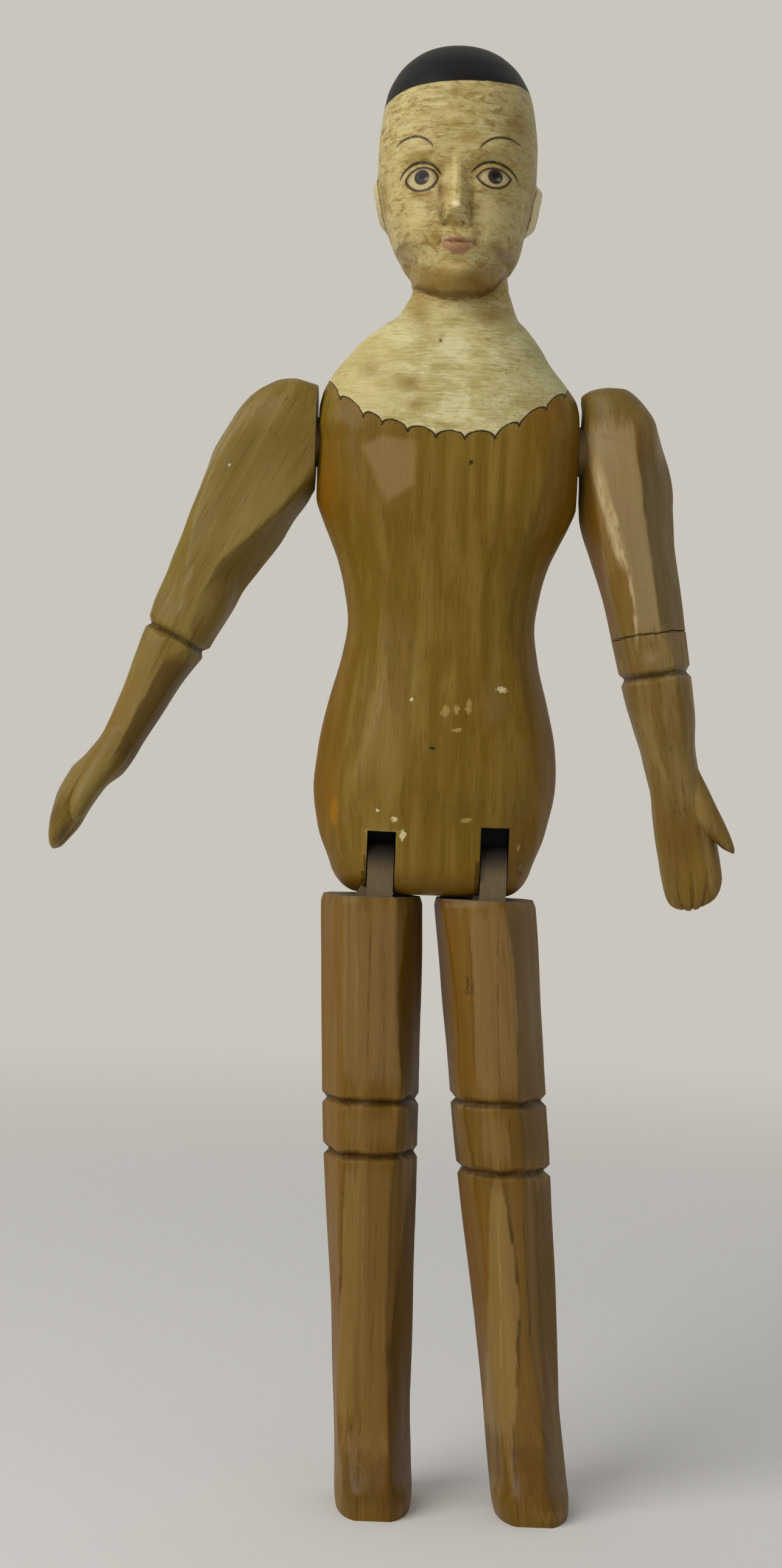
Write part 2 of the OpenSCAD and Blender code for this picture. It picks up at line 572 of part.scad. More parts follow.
left_rows = [
    [-arm_w * 0.61, -arm_w * 0.15, arm_w * 0.12, arm_d * 0.16, 2],
    [-arm_w * 0.57, -arm_w * 0.125, arm_w * 0.215, arm_d * 0.29, 2.2],
    [-arm_w * 0.42, -arm_w * 0.06, arm_w * 0.275, arm_d * 0.39, 2.3],
    [-arm_w * 0.20, 0, arm_w * 0.318, arm_d * 0.46, 2.4],
    [0, arm_w * 0.012, arm_w * 0.342, arm_d * 0.50, 2.5],
    [arm_w * 0.22, arm_w * 0.013, arm_w * 0.382, arm_d * 0.51, 2.6],
    [arm_w * 0.42, -arm_w * 0.016, arm_w * 0.415, arm_d * 0.51, 2.7],
    [arm_w * 0.59, -arm_w * 0.068, arm_w * 0.447, arm_d * 0.50, 2.7],
    [arm_w * 0.71, -arm_w * 0.066, arm_w * 0.435, arm_d * 0.49, 2.7],
    [upper_arm_l * 0.44, -arm_w * 0.057, arm_w * 0.405, arm_d * 0.47, 2.7],
    [upper_arm_l * 0.66, -arm_w * 0.023, elbow_w * 0.537, arm_d * 0.44, 2.7],
    [upper_arm_l * 0.86, -elbow_w * 0.02, elbow_w * 0.505, arm_d * 0.41, 2.7],
    [upper_arm_l, -elbow_w * 0.01, elbow_w * 0.483, arm_d * 0.385, 2.7],
    [left_s(0.10), 0, elbow_w * 0.463, arm_d * 0.365, 2.6],
    [left_s(0.20), palm_w * 0.02, elbow_w * 0.43, arm_d * 0.335, 2.5],
    [left_s(0.34), palm_w * 0.03, wrist_w * 0.53, wrist_w * 0.45, 2.4],
    [left_s(0.48), palm_w * 0.07, wrist_w * 0.52, wrist_w * 0.39, 2.3],
    [left_s(0.60), palm_w * 0.11, palm_w * 0.47, palm_t * 0.54, 2.4],
    [left_s(0.70), palm_w * 0.12, palm_w * 0.485, palm_t * 0.50, 2.5],
    [left_s(0.80), palm_w * 0.11, palm_w * 0.47, palm_t * 0.43, 2.6],
    [left_s(0.88), palm_w * 0.08, palm_w * 0.43, palm_t * 0.36, 2.7],
    [left_s(0.94), palm_w * 0.05, palm_w * 0.36, palm_t * 0.28, 2.7],
    [left_s(0.98), palm_w * 0.03, palm_w * 0.25, palm_t * 0.18, 2.5],
    [left_s(1), palm_w * 0.02, palm_w * 0.10, palm_t * 0.07, 2]
];

// Thumbs: distance along the arm, offset outward, offset to the front, half width
right_thumb = [
    [right_s(0.55), palm_t * 0.20, palm_w * 0.30, palm_t * 0.40],
    [right_s(0.66), palm_t * 0.45, palm_w * 0.50, palm_t * 0.38],
    [right_s(0.76), palm_t * 0.25, palm_w * 0.60, palm_t * 0.32],
    [right_s(0.83), palm_t * 0.05, palm_w * 0.60, palm_t * 0.14]
];
left_thumb = [
    [left_s(0.50), palm_w * 0.30, palm_t * 0.05, palm_t * 0.40],
    [left_s(0.61), palm_w * 0.50, palm_t * 0.20, palm_t * 0.38],
    [left_s(0.70), palm_w * 0.64, palm_t * 0.30, palm_t * 0.28],
    [left_s(0.77), palm_w * 0.74, palm_t * 0.35, palm_t * 0.12]
];

// Stations along an arm from s0 to s1, with the three lines of the elbow ring where they fit
function arm_levels(s0, s1) =
    let (step = (right_arm_l + arm_w * 0.6) / arm_rings)
    let (edge = ring_w * 0.6)
    concat(
        s0 < upper_arm_l ? [for (s = [s0:step:min(s1, upper_arm_l - edge) - step / 3]) s] : [],
        s1 > upper_arm_l ? [upper_arm_l - ring_w / 2, upper_arm_l, upper_arm_l + ring_w / 2] : [],
        s1 > upper_arm_l ? [for (s = [upper_arm_l + edge + step / 2:step:s1 - step / 3]) s] : [],
        [s1]
    );

// A ring of an arm, with x outward to the given side and the arm hanging along -Z
function arm_ring(rows, side, s) =
    let (cut = 0.85 * ring_cut(s - upper_arm_l))
    let (c = curve(rows, 1, s), w = curve(rows, 2, s) - cut)
    let (d = curve(rows, 3, s) - cut, n = curve(rows, 4, s))
    [for (a = turns(limb_sides)) let (p = oval_point(w, d, d, n, -a)) [side * c + p[0], p[1], -s]];

module arm_body(rows, side, s0, s1) {
    rings = [for (s = arm_levels(s0, s1)) arm_ring(rows, side, s)];
    loft(rings, [side * curve(rows, 1, s0), 0, -s0], [side * curve(rows, 1, s1), 0, -s1]);
}

module thumb(t, side) {
    s0 = t[0][0];
    s1 = t[3][0];
    rings = [for (i = [0:thumb_rings])
        let (s = s0 + (s1 - s0) * i / thumb_rings, r = curve(t, 3, s))
        [for (a = turns(thumb_sides))
            [side * curve(t, 1, s) + r * cos(-a), -curve(t, 2, s) + r * sin(-a), -s]]];
    loft(rings, [side * t[0][1], -t[0][2], -s0], [side * t[3][1], -t[3][2], -s1 - t[3][3]]);
}

module hang(side, x, splay) {
    place()
        translate([side * x, 0, peg_z])
            rotate([0, -side * splay, 0])
                children();
}

// What is taken off an arm beside the torso, and the hole for its peg
module arm_cuts(side) {
    place()
        mirror([side < 0 ? 1 : 0, 0, 0]) {
            translate([0, -arm_d, peg_z - arm_w])
                cube([arm_x, arm_d * 2, arm_w * 2]);
            translate([0, 0, peg_z])
                along_x(peg_d + 2 * snug, 0, arm_x + peg_out + snug);
        }
}

seam_s = upper_arm_l * 0.817;
seam_gap = 0.3;
dowel_d = elbow_w / 3;
dowel_l = elbow_w * 0.8;

module right_arm() {
    color(body_brown)
        difference() {
            hang(-1, right_pivot_x, right_splay) {
                arm_body(right_rows, -1, right_rows[0][0], right_arm_l);
                thumb(right_thumb, -1);
            }
            arm_cuts(-1);
        }
}

module elbow_hole() {
    translate([0, 0, -seam_s - dowel_l / 2 - snug])
        cylinder(d = dowel_d + 2 * snug, h = dowel_l + 2 * snug, $fn = round_fn);
}

module left_upper_arm() {
    color(body_brown)
        difference() {
            hang(1, left_pivot_x, left_splay)
                arm_body(left_rows, 1, left_rows[0][0], seam_s - seam_gap / 2);
            arm_cuts(1);
            hang(1, left_pivot_x, left_splay)
                elbow_hole();
        }
}

module left_forearm() {
    color(body_brown)
        hang(1, left_pivot_x, left_splay)
            difference() {
                union() {
                    arm_body(left_rows, 1, seam_s + seam_gap / 2, left_arm_l);
                    thumb(left_thumb, 1);
                }
                elbow_hole();
            }
}

module left_elbow_dowel() {
    color(bare_wood)
        hang(1, left_pivot_x, left_splay)
            translate([0, 0, -seam_s - dowel_l / 2])
                cylinder(d = dowel_d, h = dowel_l, $fn = round_fn);
}

head_and_torso();
shoulder_pin(-1);  // right_shoulder_pin
shoulder_pin(1);  // left_shoulder_pin
hip_pin(-1);  // right_hip_pin
hip_pin(1);  // left_hip_pin
right_arm();
shoulder_peg(-1);  // right_shoulder_peg
left_upper_arm();
left_forearm();
left_elbow_dowel();
shoulder_peg(1);  // left_shoulder_peg
leg(-1, right_lean, right_flare, right_knee_h, right_knee_h + right_knee_band);  // right_leg
leg(1, left_lean, left_flare, left_knee_h, left_knee_h + left_knee_band);  // left_leg
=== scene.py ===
"""A jointed wooden peg doll, carved by knife and painted, standing on a pale floor.

The script works in millimetres and in the doll's own frame: x to the image's right, y to the
back, z up from the soles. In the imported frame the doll's middle stands at (MIDDLE_X, MIDDLE_Y).
"""

import math

import bpy
import numpy as np
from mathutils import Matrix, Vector


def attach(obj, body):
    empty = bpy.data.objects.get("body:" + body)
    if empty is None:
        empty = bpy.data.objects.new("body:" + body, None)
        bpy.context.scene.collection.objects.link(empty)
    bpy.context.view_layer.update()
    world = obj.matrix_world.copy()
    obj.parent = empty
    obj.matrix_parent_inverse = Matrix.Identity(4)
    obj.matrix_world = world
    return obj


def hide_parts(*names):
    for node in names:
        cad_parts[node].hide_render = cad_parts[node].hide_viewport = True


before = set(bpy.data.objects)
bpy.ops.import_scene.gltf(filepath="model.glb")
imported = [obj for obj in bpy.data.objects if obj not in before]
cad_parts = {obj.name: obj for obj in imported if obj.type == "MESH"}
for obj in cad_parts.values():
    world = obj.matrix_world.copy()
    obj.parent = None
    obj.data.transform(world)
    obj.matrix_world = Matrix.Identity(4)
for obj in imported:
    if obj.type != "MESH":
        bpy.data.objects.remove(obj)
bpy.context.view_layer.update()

MM = 0.001
TAU = 2 * math.pi
FRONT = -math.pi / 2

# The doll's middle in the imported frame
MIDDLE_X = 16.9361
MIDDLE_Y = 1.19

# Torso and head
TORSO_H = 200
HIPS_W = 98.8
WAIST_W = 76
CHEST_W = 106.8
BELLY_D = 30
SEAT_D = 31
WAIST_D = 23
CHEST_D = 29
BACK_D = 25
NECK_H = 37
NECK_X = 2.6
CROWN_X = 0.8
NECK_W = 39
HEAD_H = 106
HEAD_W = 64.6
FACE_D = 36.5
SKULL_D = 41
NOSE_D = 8
EAR_D = 2.6

# Hips and legs
HIP_X = 22.4
HIP_Y = 15.5
HIP_R = 12.3
HIP_GAP = 0.9
SLOT_W = 11.2
SLOT_RISE = 14
RIGHT_FLARE = 5
LEFT_FLARE = 2.8
HIP_PIN_D = 5
LEG_H = 243.6
THIGH_W = 39.6
THIGH_D = 38
KNEE_W = 38
KNEE_D = 34.5
ANKLE_W = 31
ANKLE_D = 30
FOOT_W = 29.5
FOOT_L = 45.5
TOE_W = 14
TOE_H = 9
RIGHT_KNEE_H = 140.5
RIGHT_KNEE_BAND = 21.5
LEFT_KNEE_H = 135.5
LEFT_KNEE_BAND = 27.5
RING_W = 5
RING_D = 2.2
RIGHT_LEAN = 1.9
LEFT_LEAN = 6

# Arms
PEG_DROP = 18.5
PEG_D = 20
PEG_IN = 30
PEG_OUT = 20
SEAT_CUT = 1
ARM_GAP = 1.5
UPPER_ARM_L = 91
RIGHT_LOWER_ARM_L = 99
LEFT_LOWER_ARM_L = 95.5
ARM_W = 44
ARM_D = 36
ELBOW_W = 30
WRIST_W = 21
PALM_W = 26.5
PALM_T = 13
RIGHT_SPLAY = 26.5
LEFT_SPLAY = 10

# Fits
RUNNING = 0.08
SNUG = 0.05
SIDE_PLAY = 0.4
END_PLAY = 0.5
OVERRUN = 5

# Heights and places that follow
SEAT_X = CHEST_W / 2 - SEAT_CUT
HIP_Z = LEG_H + HIP_GAP
PIN_Z = HIP_Z + HIP_R
SHOULDER_Z = HIP_Z + TORSO_H
PEG_Z = SHOULDER_Z - PEG_DROP
CHIN_Z = SHOULDER_Z + NECK_H
ARM_X = SEAT_X + ARM_GAP
RIGHT_PIVOT_X = ARM_X + ARM_W * 0.29
LEFT_PIVOT_X = ARM_X + ARM_W * 0.42
RIGHT_ARM_L = UPPER_ARM_L + RIGHT_LOWER_ARM_L
LEFT_ARM_L = UPPER_ARM_L + LEFT_LOWER_ARM_L
THIGH_X = HIP_X + THIGH_W * 0.012
LEG_Y = HIP_Y * 0.5
TOE_Y = FOOT_L * 0.61
HEEL_Y = FOOT_L - TOE_Y
SOLE_SQUARE = 2.4
TOE_F = TOE_Y / (1 - (TOE_W / FOOT_W) ** SOLE_SQUARE) ** (1 / SOLE_SQUARE)
TONGUE_R = PEG_D * 0.42
WEDGE_FRONT = TONGUE_R * 0.3
WEDGE_TOP = HIP_R * 0.45
SEAM_S = UPPER_ARM_L * 0.817
SEAM_GAP = 0.3
DOWEL_D = ELBOW_W / 3
DOWEL_L = ELBOW_W * 0.8
KEEPER_D = PEG_D * 0.15
KEEPER_X = SEAT_X - PEG_IN * 0.66
KEEPER_Z = PEG_Z + PEG_D * 0.35 + KEEPER_D / 2 + RUNNING
KEEPER_FRONT = -PEG_D * 0.65
HIP_PIN_IN = HIP_X - SLOT_W / 2 - HIP_PIN_D * 1.7
HIP_PIN_OUT = HIPS_W * 0.362
SLOT_TOP = PIN_Z + SLOT_RISE
RIGHT_KNEES = (RIGHT_KNEE_H, RIGHT_KNEE_H + RIGHT_KNEE_BAND)
LEFT_KNEES = (LEFT_KNEE_H, LEFT_KNEE_H + LEFT_KNEE_BAND)

# What the photograph shows a little apart from the construction: where the slots stand, how high
# they reach, and how near the arms' flats come to the torso
RIGHT_SLOT_X = -20.7
LEFT_SLOT_X = 24.1
RIGHT_SLOT_TOP = SLOT_TOP - 1.3
LEFT_SLOT_TOP = SLOT_TOP + 1.6
ARM_FLAT_X = ARM_X - 0.5


# Curves and sections

def smooth(value, low, high):
    """0 below low and 1 above high, with a soft change between."""
    t = np.clip((value - low) / (high - low), 0, 1)
    return t * t * (3 - 2 * t)


def bump(distance):
    """A smooth bump of height 1 at 0 that ends at 1."""
    e = np.minimum(1, np.abs(distance))
    return (1 - e * e) ** 2


def curve(rows, column, places):
    """A column of a table at places along its first column, on a smooth curve."""
    rows = np.asarray(rows, float)
    u = rows[:, 0]
    v = rows[:, column]
    steps = np.diff(v) / np.diff(u)
    slopes = np.empty(len(u))
    slopes[0] = steps[0]
    slopes[-1] = steps[-1]
    before = steps[:-1]
    after = steps[1:]
    turning = before * after <= 0
    total = np.where(turning, 1, before + after)
    slopes[1:-1] = np.where(turning, 0, 2 * before * after / total)
    i = np.clip(np.searchsorted(u, places, side="right") - 1, 0, len(u) - 2)
    width = u[i + 1] - u[i]
    s = np.clip((places - u[i]) / width, 0, 1)
    rise = 3 * s ** 2 - 2 * s ** 3
    return ((1 - rise) * v[i] + rise * v[i + 1] + (s ** 3 - 2 * s ** 2 + s) * slopes[i] * width
            + (s ** 3 - s ** 2) * slopes[i + 1] * width)


def oval(turn, width, front, back, square):
    """Distance from the middle of a squared oval to its edge at a turn, with the front at -Y."""
    across = np.abs(np.cos(turn)) / width
    deep = np.abs(np.sin(turn)) / np.where(np.sin(turn) < 0, front, back)
    return (across ** square + deep ** square) ** (-1 / square)


def turns(sides, gather=0.0):
    """Turns round a ring from the front on, drawn together at the front."""
    t = FRONT + TAU * np.arange(sides) / sides
    return t - gather * np.cos(t)


def column(values):
    return np.asarray(values, float)[:, None]


def front_turn(x, width, front, square):
    """The turn at which a squared oval's front stands at x."""
    share = np.clip(np.abs(x) / width, 0, 0.999)
    y = -front * (1 - share ** square) ** (1 / square)
    turn = np.arctan2(y, x)
    return np.where(turn < FRONT, turn + TAU, turn)


def carve(turn, section, edges, share=1.0):
    """Radii of a section that is cut flat between neighbouring edges, which are turns."""
    edges = np.sort(np.mod(edges - FRONT, TAU) + FRONT, axis=1)
    at_edges = oval(edges, *section)
    corners = at_edges[..., None] * np.stack([np.cos(edges), np.sin(edges)], -1)
    full = oval(turn[None, :], *section)
    after = (edges[:, None, :] <= turn[None, :, None]).sum(2)
    count = edges.shape[1]
    rows = np.arange(len(edges))[:, None]
    first = corners[rows, (after - 1) % count]
    second = corners[rows, after % count]
    side = second - first
    direction = np.stack([np.cos(turn), np.sin(turn)], -1)[None]
    reach = first[..., 0] * side[..., 1] - first[..., 1] * side[..., 0]
    slant = direction[..., 0] * side[..., 1] - direction[..., 1] * side[..., 0]
    flat = np.minimum(reach / np.maximum(slant, 1e-9), full)
    return full + (flat - full) * share


def knife_edges(places, rows, middle, section, backs, seed, sway=0.09, wander=(0.02, 0.05)):
    """Turns of the edges between knife cuts on every ring: drawn in front, swaying by chance behind."""
    width, front, _, square = section
    fronts = np.stack([curve(rows, i, places) for i in range(1, len(rows[0]))], 1) - middle
    chance = np.random.RandomState(seed)
    behind = np.stack([back + sway * np.sin(places * chance.uniform(*wander) + chance.uniform(0, TAU))
                       for back in backs], 1)
    return np.concatenate([front_turn(fronts, width, front, square), behind], 1)


def soften(values, passes):
    """Rounds the corners of closed rings of values a little."""
    for _ in range(passes):
        values = (np.roll(values, 1, 1) + 2 * values + np.roll(values, -1, 1)) / 4
    return values


STEEPEST = 0.16


def ripple(turn, along, size, seed):
    """The slight unevenness of a surface cut by hand."""
    chance = np.random.RandomState(seed)
    total = np.zeros(np.broadcast(turn, along).shape)
    for _ in range(12):
        around = chance.randint(1, 8)
        rise = chance.uniform(-STEEPEST, STEEPEST)
        total += np.sin(around * turn + rise * along + chance.uniform(0, TAU))
    return total * size / 4


def stations(start, end, coarse, fine, places, near):
    """Places from start to end, closer together near the given places."""
    found = [start]
    while found[-1] < end - fine / 2:
        gap = min([abs(found[-1] - place) for place in places] + [1e6])
        found.append(found[-1] + (fine if gap < near else coarse))
    found[-1] = end
    return np.array(found)


# Meshes

def mesh_object(name, points, faces):
    mesh = bpy.data.meshes.new(name)
    mesh.from_pydata(np.asarray(points).tolist(), [], faces)
    mesh.update()
    piece = bpy.data.objects.new(name, mesh)
    bpy.context.scene.collection.objects.link(piece)
    return piece


def loft(name, rings):
    """A closed solid through rings of equally many points that rise along Z."""
    m, n = rings.shape[:2]
    points = np.vstack([rings.reshape(-1, 3), rings[0].mean(0), rings[-1].mean(0)])
    i = np.arange(m - 1)[:, None] * n
    j = np.arange(n)[None, :]
    k = (j + 1) % n
    sides = np.stack([i + j, i + k, i + n + k, i + n + j], -1).reshape(-1, 4)
    j = np.arange(n)
    k = (j + 1) % n
    bottom = np.stack([np.full(n, m * n), k, j], -1)
    top = np.stack([np.full(n, m * n + 1), (m - 1) * n + j, (m - 1) * n + k], -1)
    return mesh_object(name, points, sides.tolist() + bottom.tolist() + top.tolist())


def prism(name, outline, start, end, axis):
    """An outline that is drawn out along an axis. Its two columns are the other two axes."""
    others = {"x": (1, 2), "y": (2, 0), "z": (0, 1)}[axis]
    along = "xyz".index(axis)
    outline = np.asarray(outline, float)
    rings = []
    for place in (start, end):
        ring = np.zeros((len(outline), 3))
        ring[:, others[0]] = outline[:, 0]
        ring[:, others[1]] = outline[:, 1]
        ring[:, along] = place
        rings.append(ring)
    n = len(outline)
    sides = [[j, (j + 1) % n, n + (j + 1) % n, n + j] for j in range(n)]
    ends = [list(range(n))[::-1], list(range(n, 2 * n))]
    return mesh_object(name, np.vstack(rings), sides + ends)


def circle(a, b, radius, sides=96):
    t = TAU * np.arange(sides) / sides
    return np.stack([a + radius * np.cos(t), b + radius * np.sin(t)], -1)


def box(name, low, high):
    outline = [(low[0], low[1]), (high[0], low[1]), (high[0], high[1]), (low[0], high[1])]
    return prism(name, outline, low[2], high[2], "z")


def combine(piece, tools, operation):
    """Adds or cuts tool pieces in turn and removes them."""
    for tool in tools:
        step = piece.modifiers.new("combine", "BOOLEAN")
        step.operation = operation
        step.solver = "MANIFOLD"
        step.object = tool
        depsgraph = bpy.context.evaluated_depsgraph_get()
        result = bpy.data.meshes.new_from_object(piece.evaluated_get(depsgraph))
        piece.modifiers.remove(step)
        old = piece.data
        piece.data = result
        bpy.data.meshes.remove(old)
        tool_mesh = tool.data
        bpy.data.objects.remove(tool)
        bpy.data.meshes.remove(tool_mesh)
    return piece


SHARP_CORNER = math.radians(38)


def settle(piece):
    """Brings a piece from the doll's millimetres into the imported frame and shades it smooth."""
    mesh = piece.data
    count = len(mesh.vertices)
    points = np.empty(count * 3)
    mesh.vertices.foreach_get("co", points)
    points = points.reshape(-1, 3) + [MIDDLE_X, MIDDLE_Y, 0]
    mesh.vertices.foreach_set("co", (points * MM).ravel())
    mesh.polygons.foreach_set("use_smooth", [True] * len(mesh.polygons))
    mesh.set_sharp_from_angle(angle=SHARP_CORNER)
    mesh.name = piece.name
    mesh.update()
    return piece


# Head and torso: height, half width, depth to the front, depth to the back, squareness

FRONT_LOW = HIP_Y + HIP_R


def torso_place(share):
    return HIP_Z + TORSO_H * share


def neck_place(share):
    return SHOULDER_Z + NECK_H * share


def head_place(share):
    return CHIN_Z + HEAD_H * share


TORSO_ROWS = [
    [PIN_Z, HIPS_W * 0.417, FRONT_LOW, SEAT_D * 0.87, 2.6],
    [torso_place(0.13), HIPS_W * 0.47, FRONT_LOW, SEAT_D * 0.96, 2.5],
    [torso_place(0.225), HIPS_W * 0.50, BELLY_D, SEAT_D, 2.4],
    [torso_place(0.295), HIPS_W * 0.489, BELLY_D * 0.97, SEAT_D * 0.95, 2.4],
    [torso_place(0.39), HIPS_W * 0.449, BELLY_D * 0.90, SEAT_D * 0.83, 2.4],
    [torso_place(0.475), WAIST_W * 0.526, WAIST_D * 1.08, WAIST_D * 0.98, 2.4],
    [torso_place(0.545), WAIST_W * 0.50, WAIST_D * 1.03, WAIST_D * 0.95, 2.4],
    [torso_place(0.615), WAIST_W * 0.526, CHEST_D * 0.86, BACK_D * 0.90, 2.4],
    [torso_place(0.67), CHEST_W * 0.403, CHEST_D * 0.91, BACK_D * 0.95, 2.4],
    [torso_place(0.71), CHEST_W * 0.435, CHEST_D * 0.95, BACK_D * 0.98, 2.5],
    [torso_place(0.75), CHEST_W * 0.468, CHEST_D * 0.98, BACK_D, 2.8],
    [torso_place(0.79), CHEST_W * 0.494, CHEST_D, BACK_D, 3.2],
    [torso_place(0.83), CHEST_W * 0.50, CHEST_D, BACK_D, 3.5],
    [torso_place(0.90), CHEST_W * 0.50, CHEST_D * 0.97, BACK_D * 0.98, 3.5],
    [torso_place(0.96), CHEST_W * 0.496, CHEST_D * 0.91, BACK_D * 0.94, 3.1],
    [SHOULDER_Z, CHEST_W * 0.483, CHEST_D * 0.86, BACK_D * 0.90, 2.6],
    [neck_place(0.21), CHEST_W * 0.443, CHEST_D * 0.79, BACK_D * 0.84, 2.4],
    [neck_place(0.42), CHEST_W * 0.387, CHEST_D * 0.71, BACK_D * 0.80, 2.3],
    [neck_place(0.58), CHEST_W * 0.348, CHEST_D * 0.65, BACK_D * 0.80, 2.2],
    [neck_place(0.80), CHEST_W * 0.272, CHEST_D * 0.57, BACK_D * 0.80, 2.1],
    [neck_place(0.92), NECK_W * 0.60, NECK_W * 0.41, NECK_W * 0.50, 2],
    [CHIN_Z, NECK_W * 0.51, NECK_W * 0.40, NECK_W * 0.50, 2],
]
HEAD_ROWS = [
    [CHIN_Z, NECK_W * 0.51, NECK_W * 0.40, NECK_W * 0.50, 2],
    [head_place(0.025), NECK_W * 0.49, FACE_D * 0.72, NECK_W * 0.51, 1.9],
    [head_place(0.06), NECK_W * 0.492, FACE_D * 0.87, SKULL_D * 0.50, 1.9],
    [head_place(0.10), HEAD_W * 0.296, FACE_D * 0.92, SKULL_D * 0.54, 2],
    [head_place(0.165), HEAD_W * 0.357, FACE_D * 0.94, SKULL_D * 0.64, 2.1],
    [head_place(0.22), HEAD_W * 0.397, FACE_D * 0.955, SKULL_D * 0.73, 2.2],
    [head_place(0.287), HEAD_W * 0.430, FACE_D * 0.97, SKULL_D * 0.82, 2.2],
    [head_place(0.39), HEAD_W * 0.474, FACE_D * 0.98, SKULL_D * 0.93, 2.2],
    [head_place(0.495), HEAD_W * 0.499, FACE_D, SKULL_D * 0.985, 2.2],
    [head_place(0.60), HEAD_W * 0.498, FACE_D, SKULL_D, 2.2],
    [head_place(0.70), HEAD_W * 0.482, FACE_D * 0.98, SKULL_D * 0.975, 2.2],
    [head_place(0.80), HEAD_W * 0.455, FACE_D * 0.905, SKULL_D * 0.885, 2.1],
    [head_place(0.88), HEAD_W * 0.396, FACE_D * 0.76, SKULL_D * 0.73, 2],
    [head_place(0.94), HEAD_W * 0.306, FACE_D * 0.56, SKULL_D * 0.54, 2],
    [head_place(0.98), HEAD_W * 0.188, FACE_D * 0.33, SKULL_D * 0.32, 2],
    [head_place(1), 0, 0, 0, 2],
]


# Bends of the block's middle line beside the neck's own lean: height, reach, amount
BENDS = [(463, 20, -2.1), (493, 9, -0.8), (268, 34, -1.0)]


def aside(z):
    """How far the block's middle line stands aside at a height."""
    lean = NECK_X * bump((z - CHIN_Z) / (NECK_H * 0.95)) - CROWN_X * np.maximum(0, z - CHIN_Z) / HEAD_H
    return lean + sum(amount * bump((z - height) / reach) for height, reach, amount in BENDS)


# Places on the face: x from the doll's middle and height from the soles
EYES = [(-14.9, 526.2), (13.6, 527.6)]
NOSE_X = -0.9
NOSE_TIP = (-1.2, 513.0)
NOSE_ROOT_Z = 536
BROW_Z = 539
CHEEK_Z = 509
LIP_FOLD_Z = 502.5
MOUTH = (0.0, 501.2)
CHIN = (0.8, 488.0)
JAW_X = 1.0
JAW_Z = 484
JAW_CREASE_Z = 483.4
HAIR_Z = 565.6

# An ear's middle, half length and half height, seen from the side
EAR_Y = SKULL_D * 0.12
EAR_Z = 523.6
EAR_L = 8.1
EAR_H = 11.9


def swell(u, v, half_w, half_h):
    """A round swelling of height 1, by the distances from its middle."""
    return bump(np.hypot(u / half_w, v / half_h))


def ridge(u, v, half_w, half_h):
    """A squarer swelling of height 1, by the distances from its middle."""
    return bump(u / half_w) * bump(v / half_h)


def nose_relief(x, z):
    tip_x, tip_z = NOSE_TIP
    climb = np.clip((NOSE_ROOT_Z - z) / (NOSE_ROOT_Z - tip_z), 0, 1)
    middle = NOSE_X + 0.5 * bump((z - 522) / 12) + (tip_x - NOSE_X) * climb
    half = 1.7 + 3.1 * climb ** 1.3
    profile = np.where(z >= tip_z, 1.1 * climb ** 0.5 + (NOSE_D - 1.5) * climb ** 1.5,
                       (NOSE_D - 0.4) * (1 - smooth(tip_z - z, 0.4, 5.6)))
    profile = profile * smooth(NOSE_ROOT_Z + 4 - z, 0, 6)
    back = profile * (1 - smooth(np.abs(x - middle) / half, 0.15, 1.62))
    wings = 1.4 * ridge(np.abs(x - NOSE_X) - 4.2, z - 510.4, 2.4, 3.6)
    return back + wings


def eye_relief(x, z, side, eye):
    """Socket, ball, lids, brow, cheek and the fold beside the mouth, on one side of the face."""
    u = x - eye[0]
    v = z - eye[1]
    out = x - side * 17
    upper = v - 4.1 + 0.052 * u ** 2
    lower = v + 5.2 - 0.04 * u ** 2
    socket = 2.5 * swell(u, v - 1.0, 13.0, 9.5) + 1.5 * swell(u + side * 8.2, v - 1.5, 5.0, 7.5)
    ball = 2.1 * swell(u, v + 0.1, 8.6, 6.2) ** 0.7
    upper_lid = 0.45 * ridge(u, upper - 0.6, 9.5, 1.6) - 0.45 * ridge(u, upper - 2.4, 10, 1.2)
    lower_lid = 0.3 * ridge(u, lower + 0.4, 9, 1.5) - 0.25 * ridge(u, lower + 2.4, 10, 1.8)
    brow = 1.1 * swell(out, z - BROW_Z, 15, 6.5)
    cheek = 1.4 * swell(out, z - CHEEK_Z, 12, 13)
    fold = 0.5 * swell(x - side * 9.4, z - LIP_FOLD_Z - 0.3 * side * x, 3.0, 7.5)
    return ball - socket + upper_lid + lower_lid + brow + cheek - fold


def mouth_relief(x, z):
    """Lips, the furrows above and below them, and the chin."""
    u = x - MOUTH[0]
    v = z - MOUTH[1]
    lips = (2.0 * swell(u, v, 12.5, 9.5) + 0.75 * swell(u, v - 1.5, 7.2, 2.0)
            + 0.95 * swell(u, v + 2.3, 6.6, 2.7) - 0.95 * ridge(u, v, 7.8, 0.9))
    furrows = 0.35 * ridge(x + 0.7, z - 505.2, 1.5, 2.8) + 0.8 * ridge(u, v + 6.8, 9.5, 2.8)
    return lips - furrows + 2.0 * swell(x - CHIN[0], z - CHIN[1], 11.5, 6.8)


def face_relief(x, z):
    """How far the face stands out of the plain head."""
    eyes = sum(eye_relief(x, z, side, eye) for side, eye in zip((-1, 1), EYES))
    return nose_relief(x, z) + eyes + mouth_relief(x, z)


def ear_relief(y, z):
    """How far an ear stands out of the side of the head, with a sunk inner part."""
    u = (y - EAR_Y) / EAR_L
    v = (z - EAR_Z) / EAR_H
    outer = smooth(1 - np.hypot(u, v), 0, 0.4)
    inner = bump(np.hypot((u + 0.12) / 0.55, (v - 0.08) / 0.6))
    return EAR_D * (outer - 0.6 * inner)


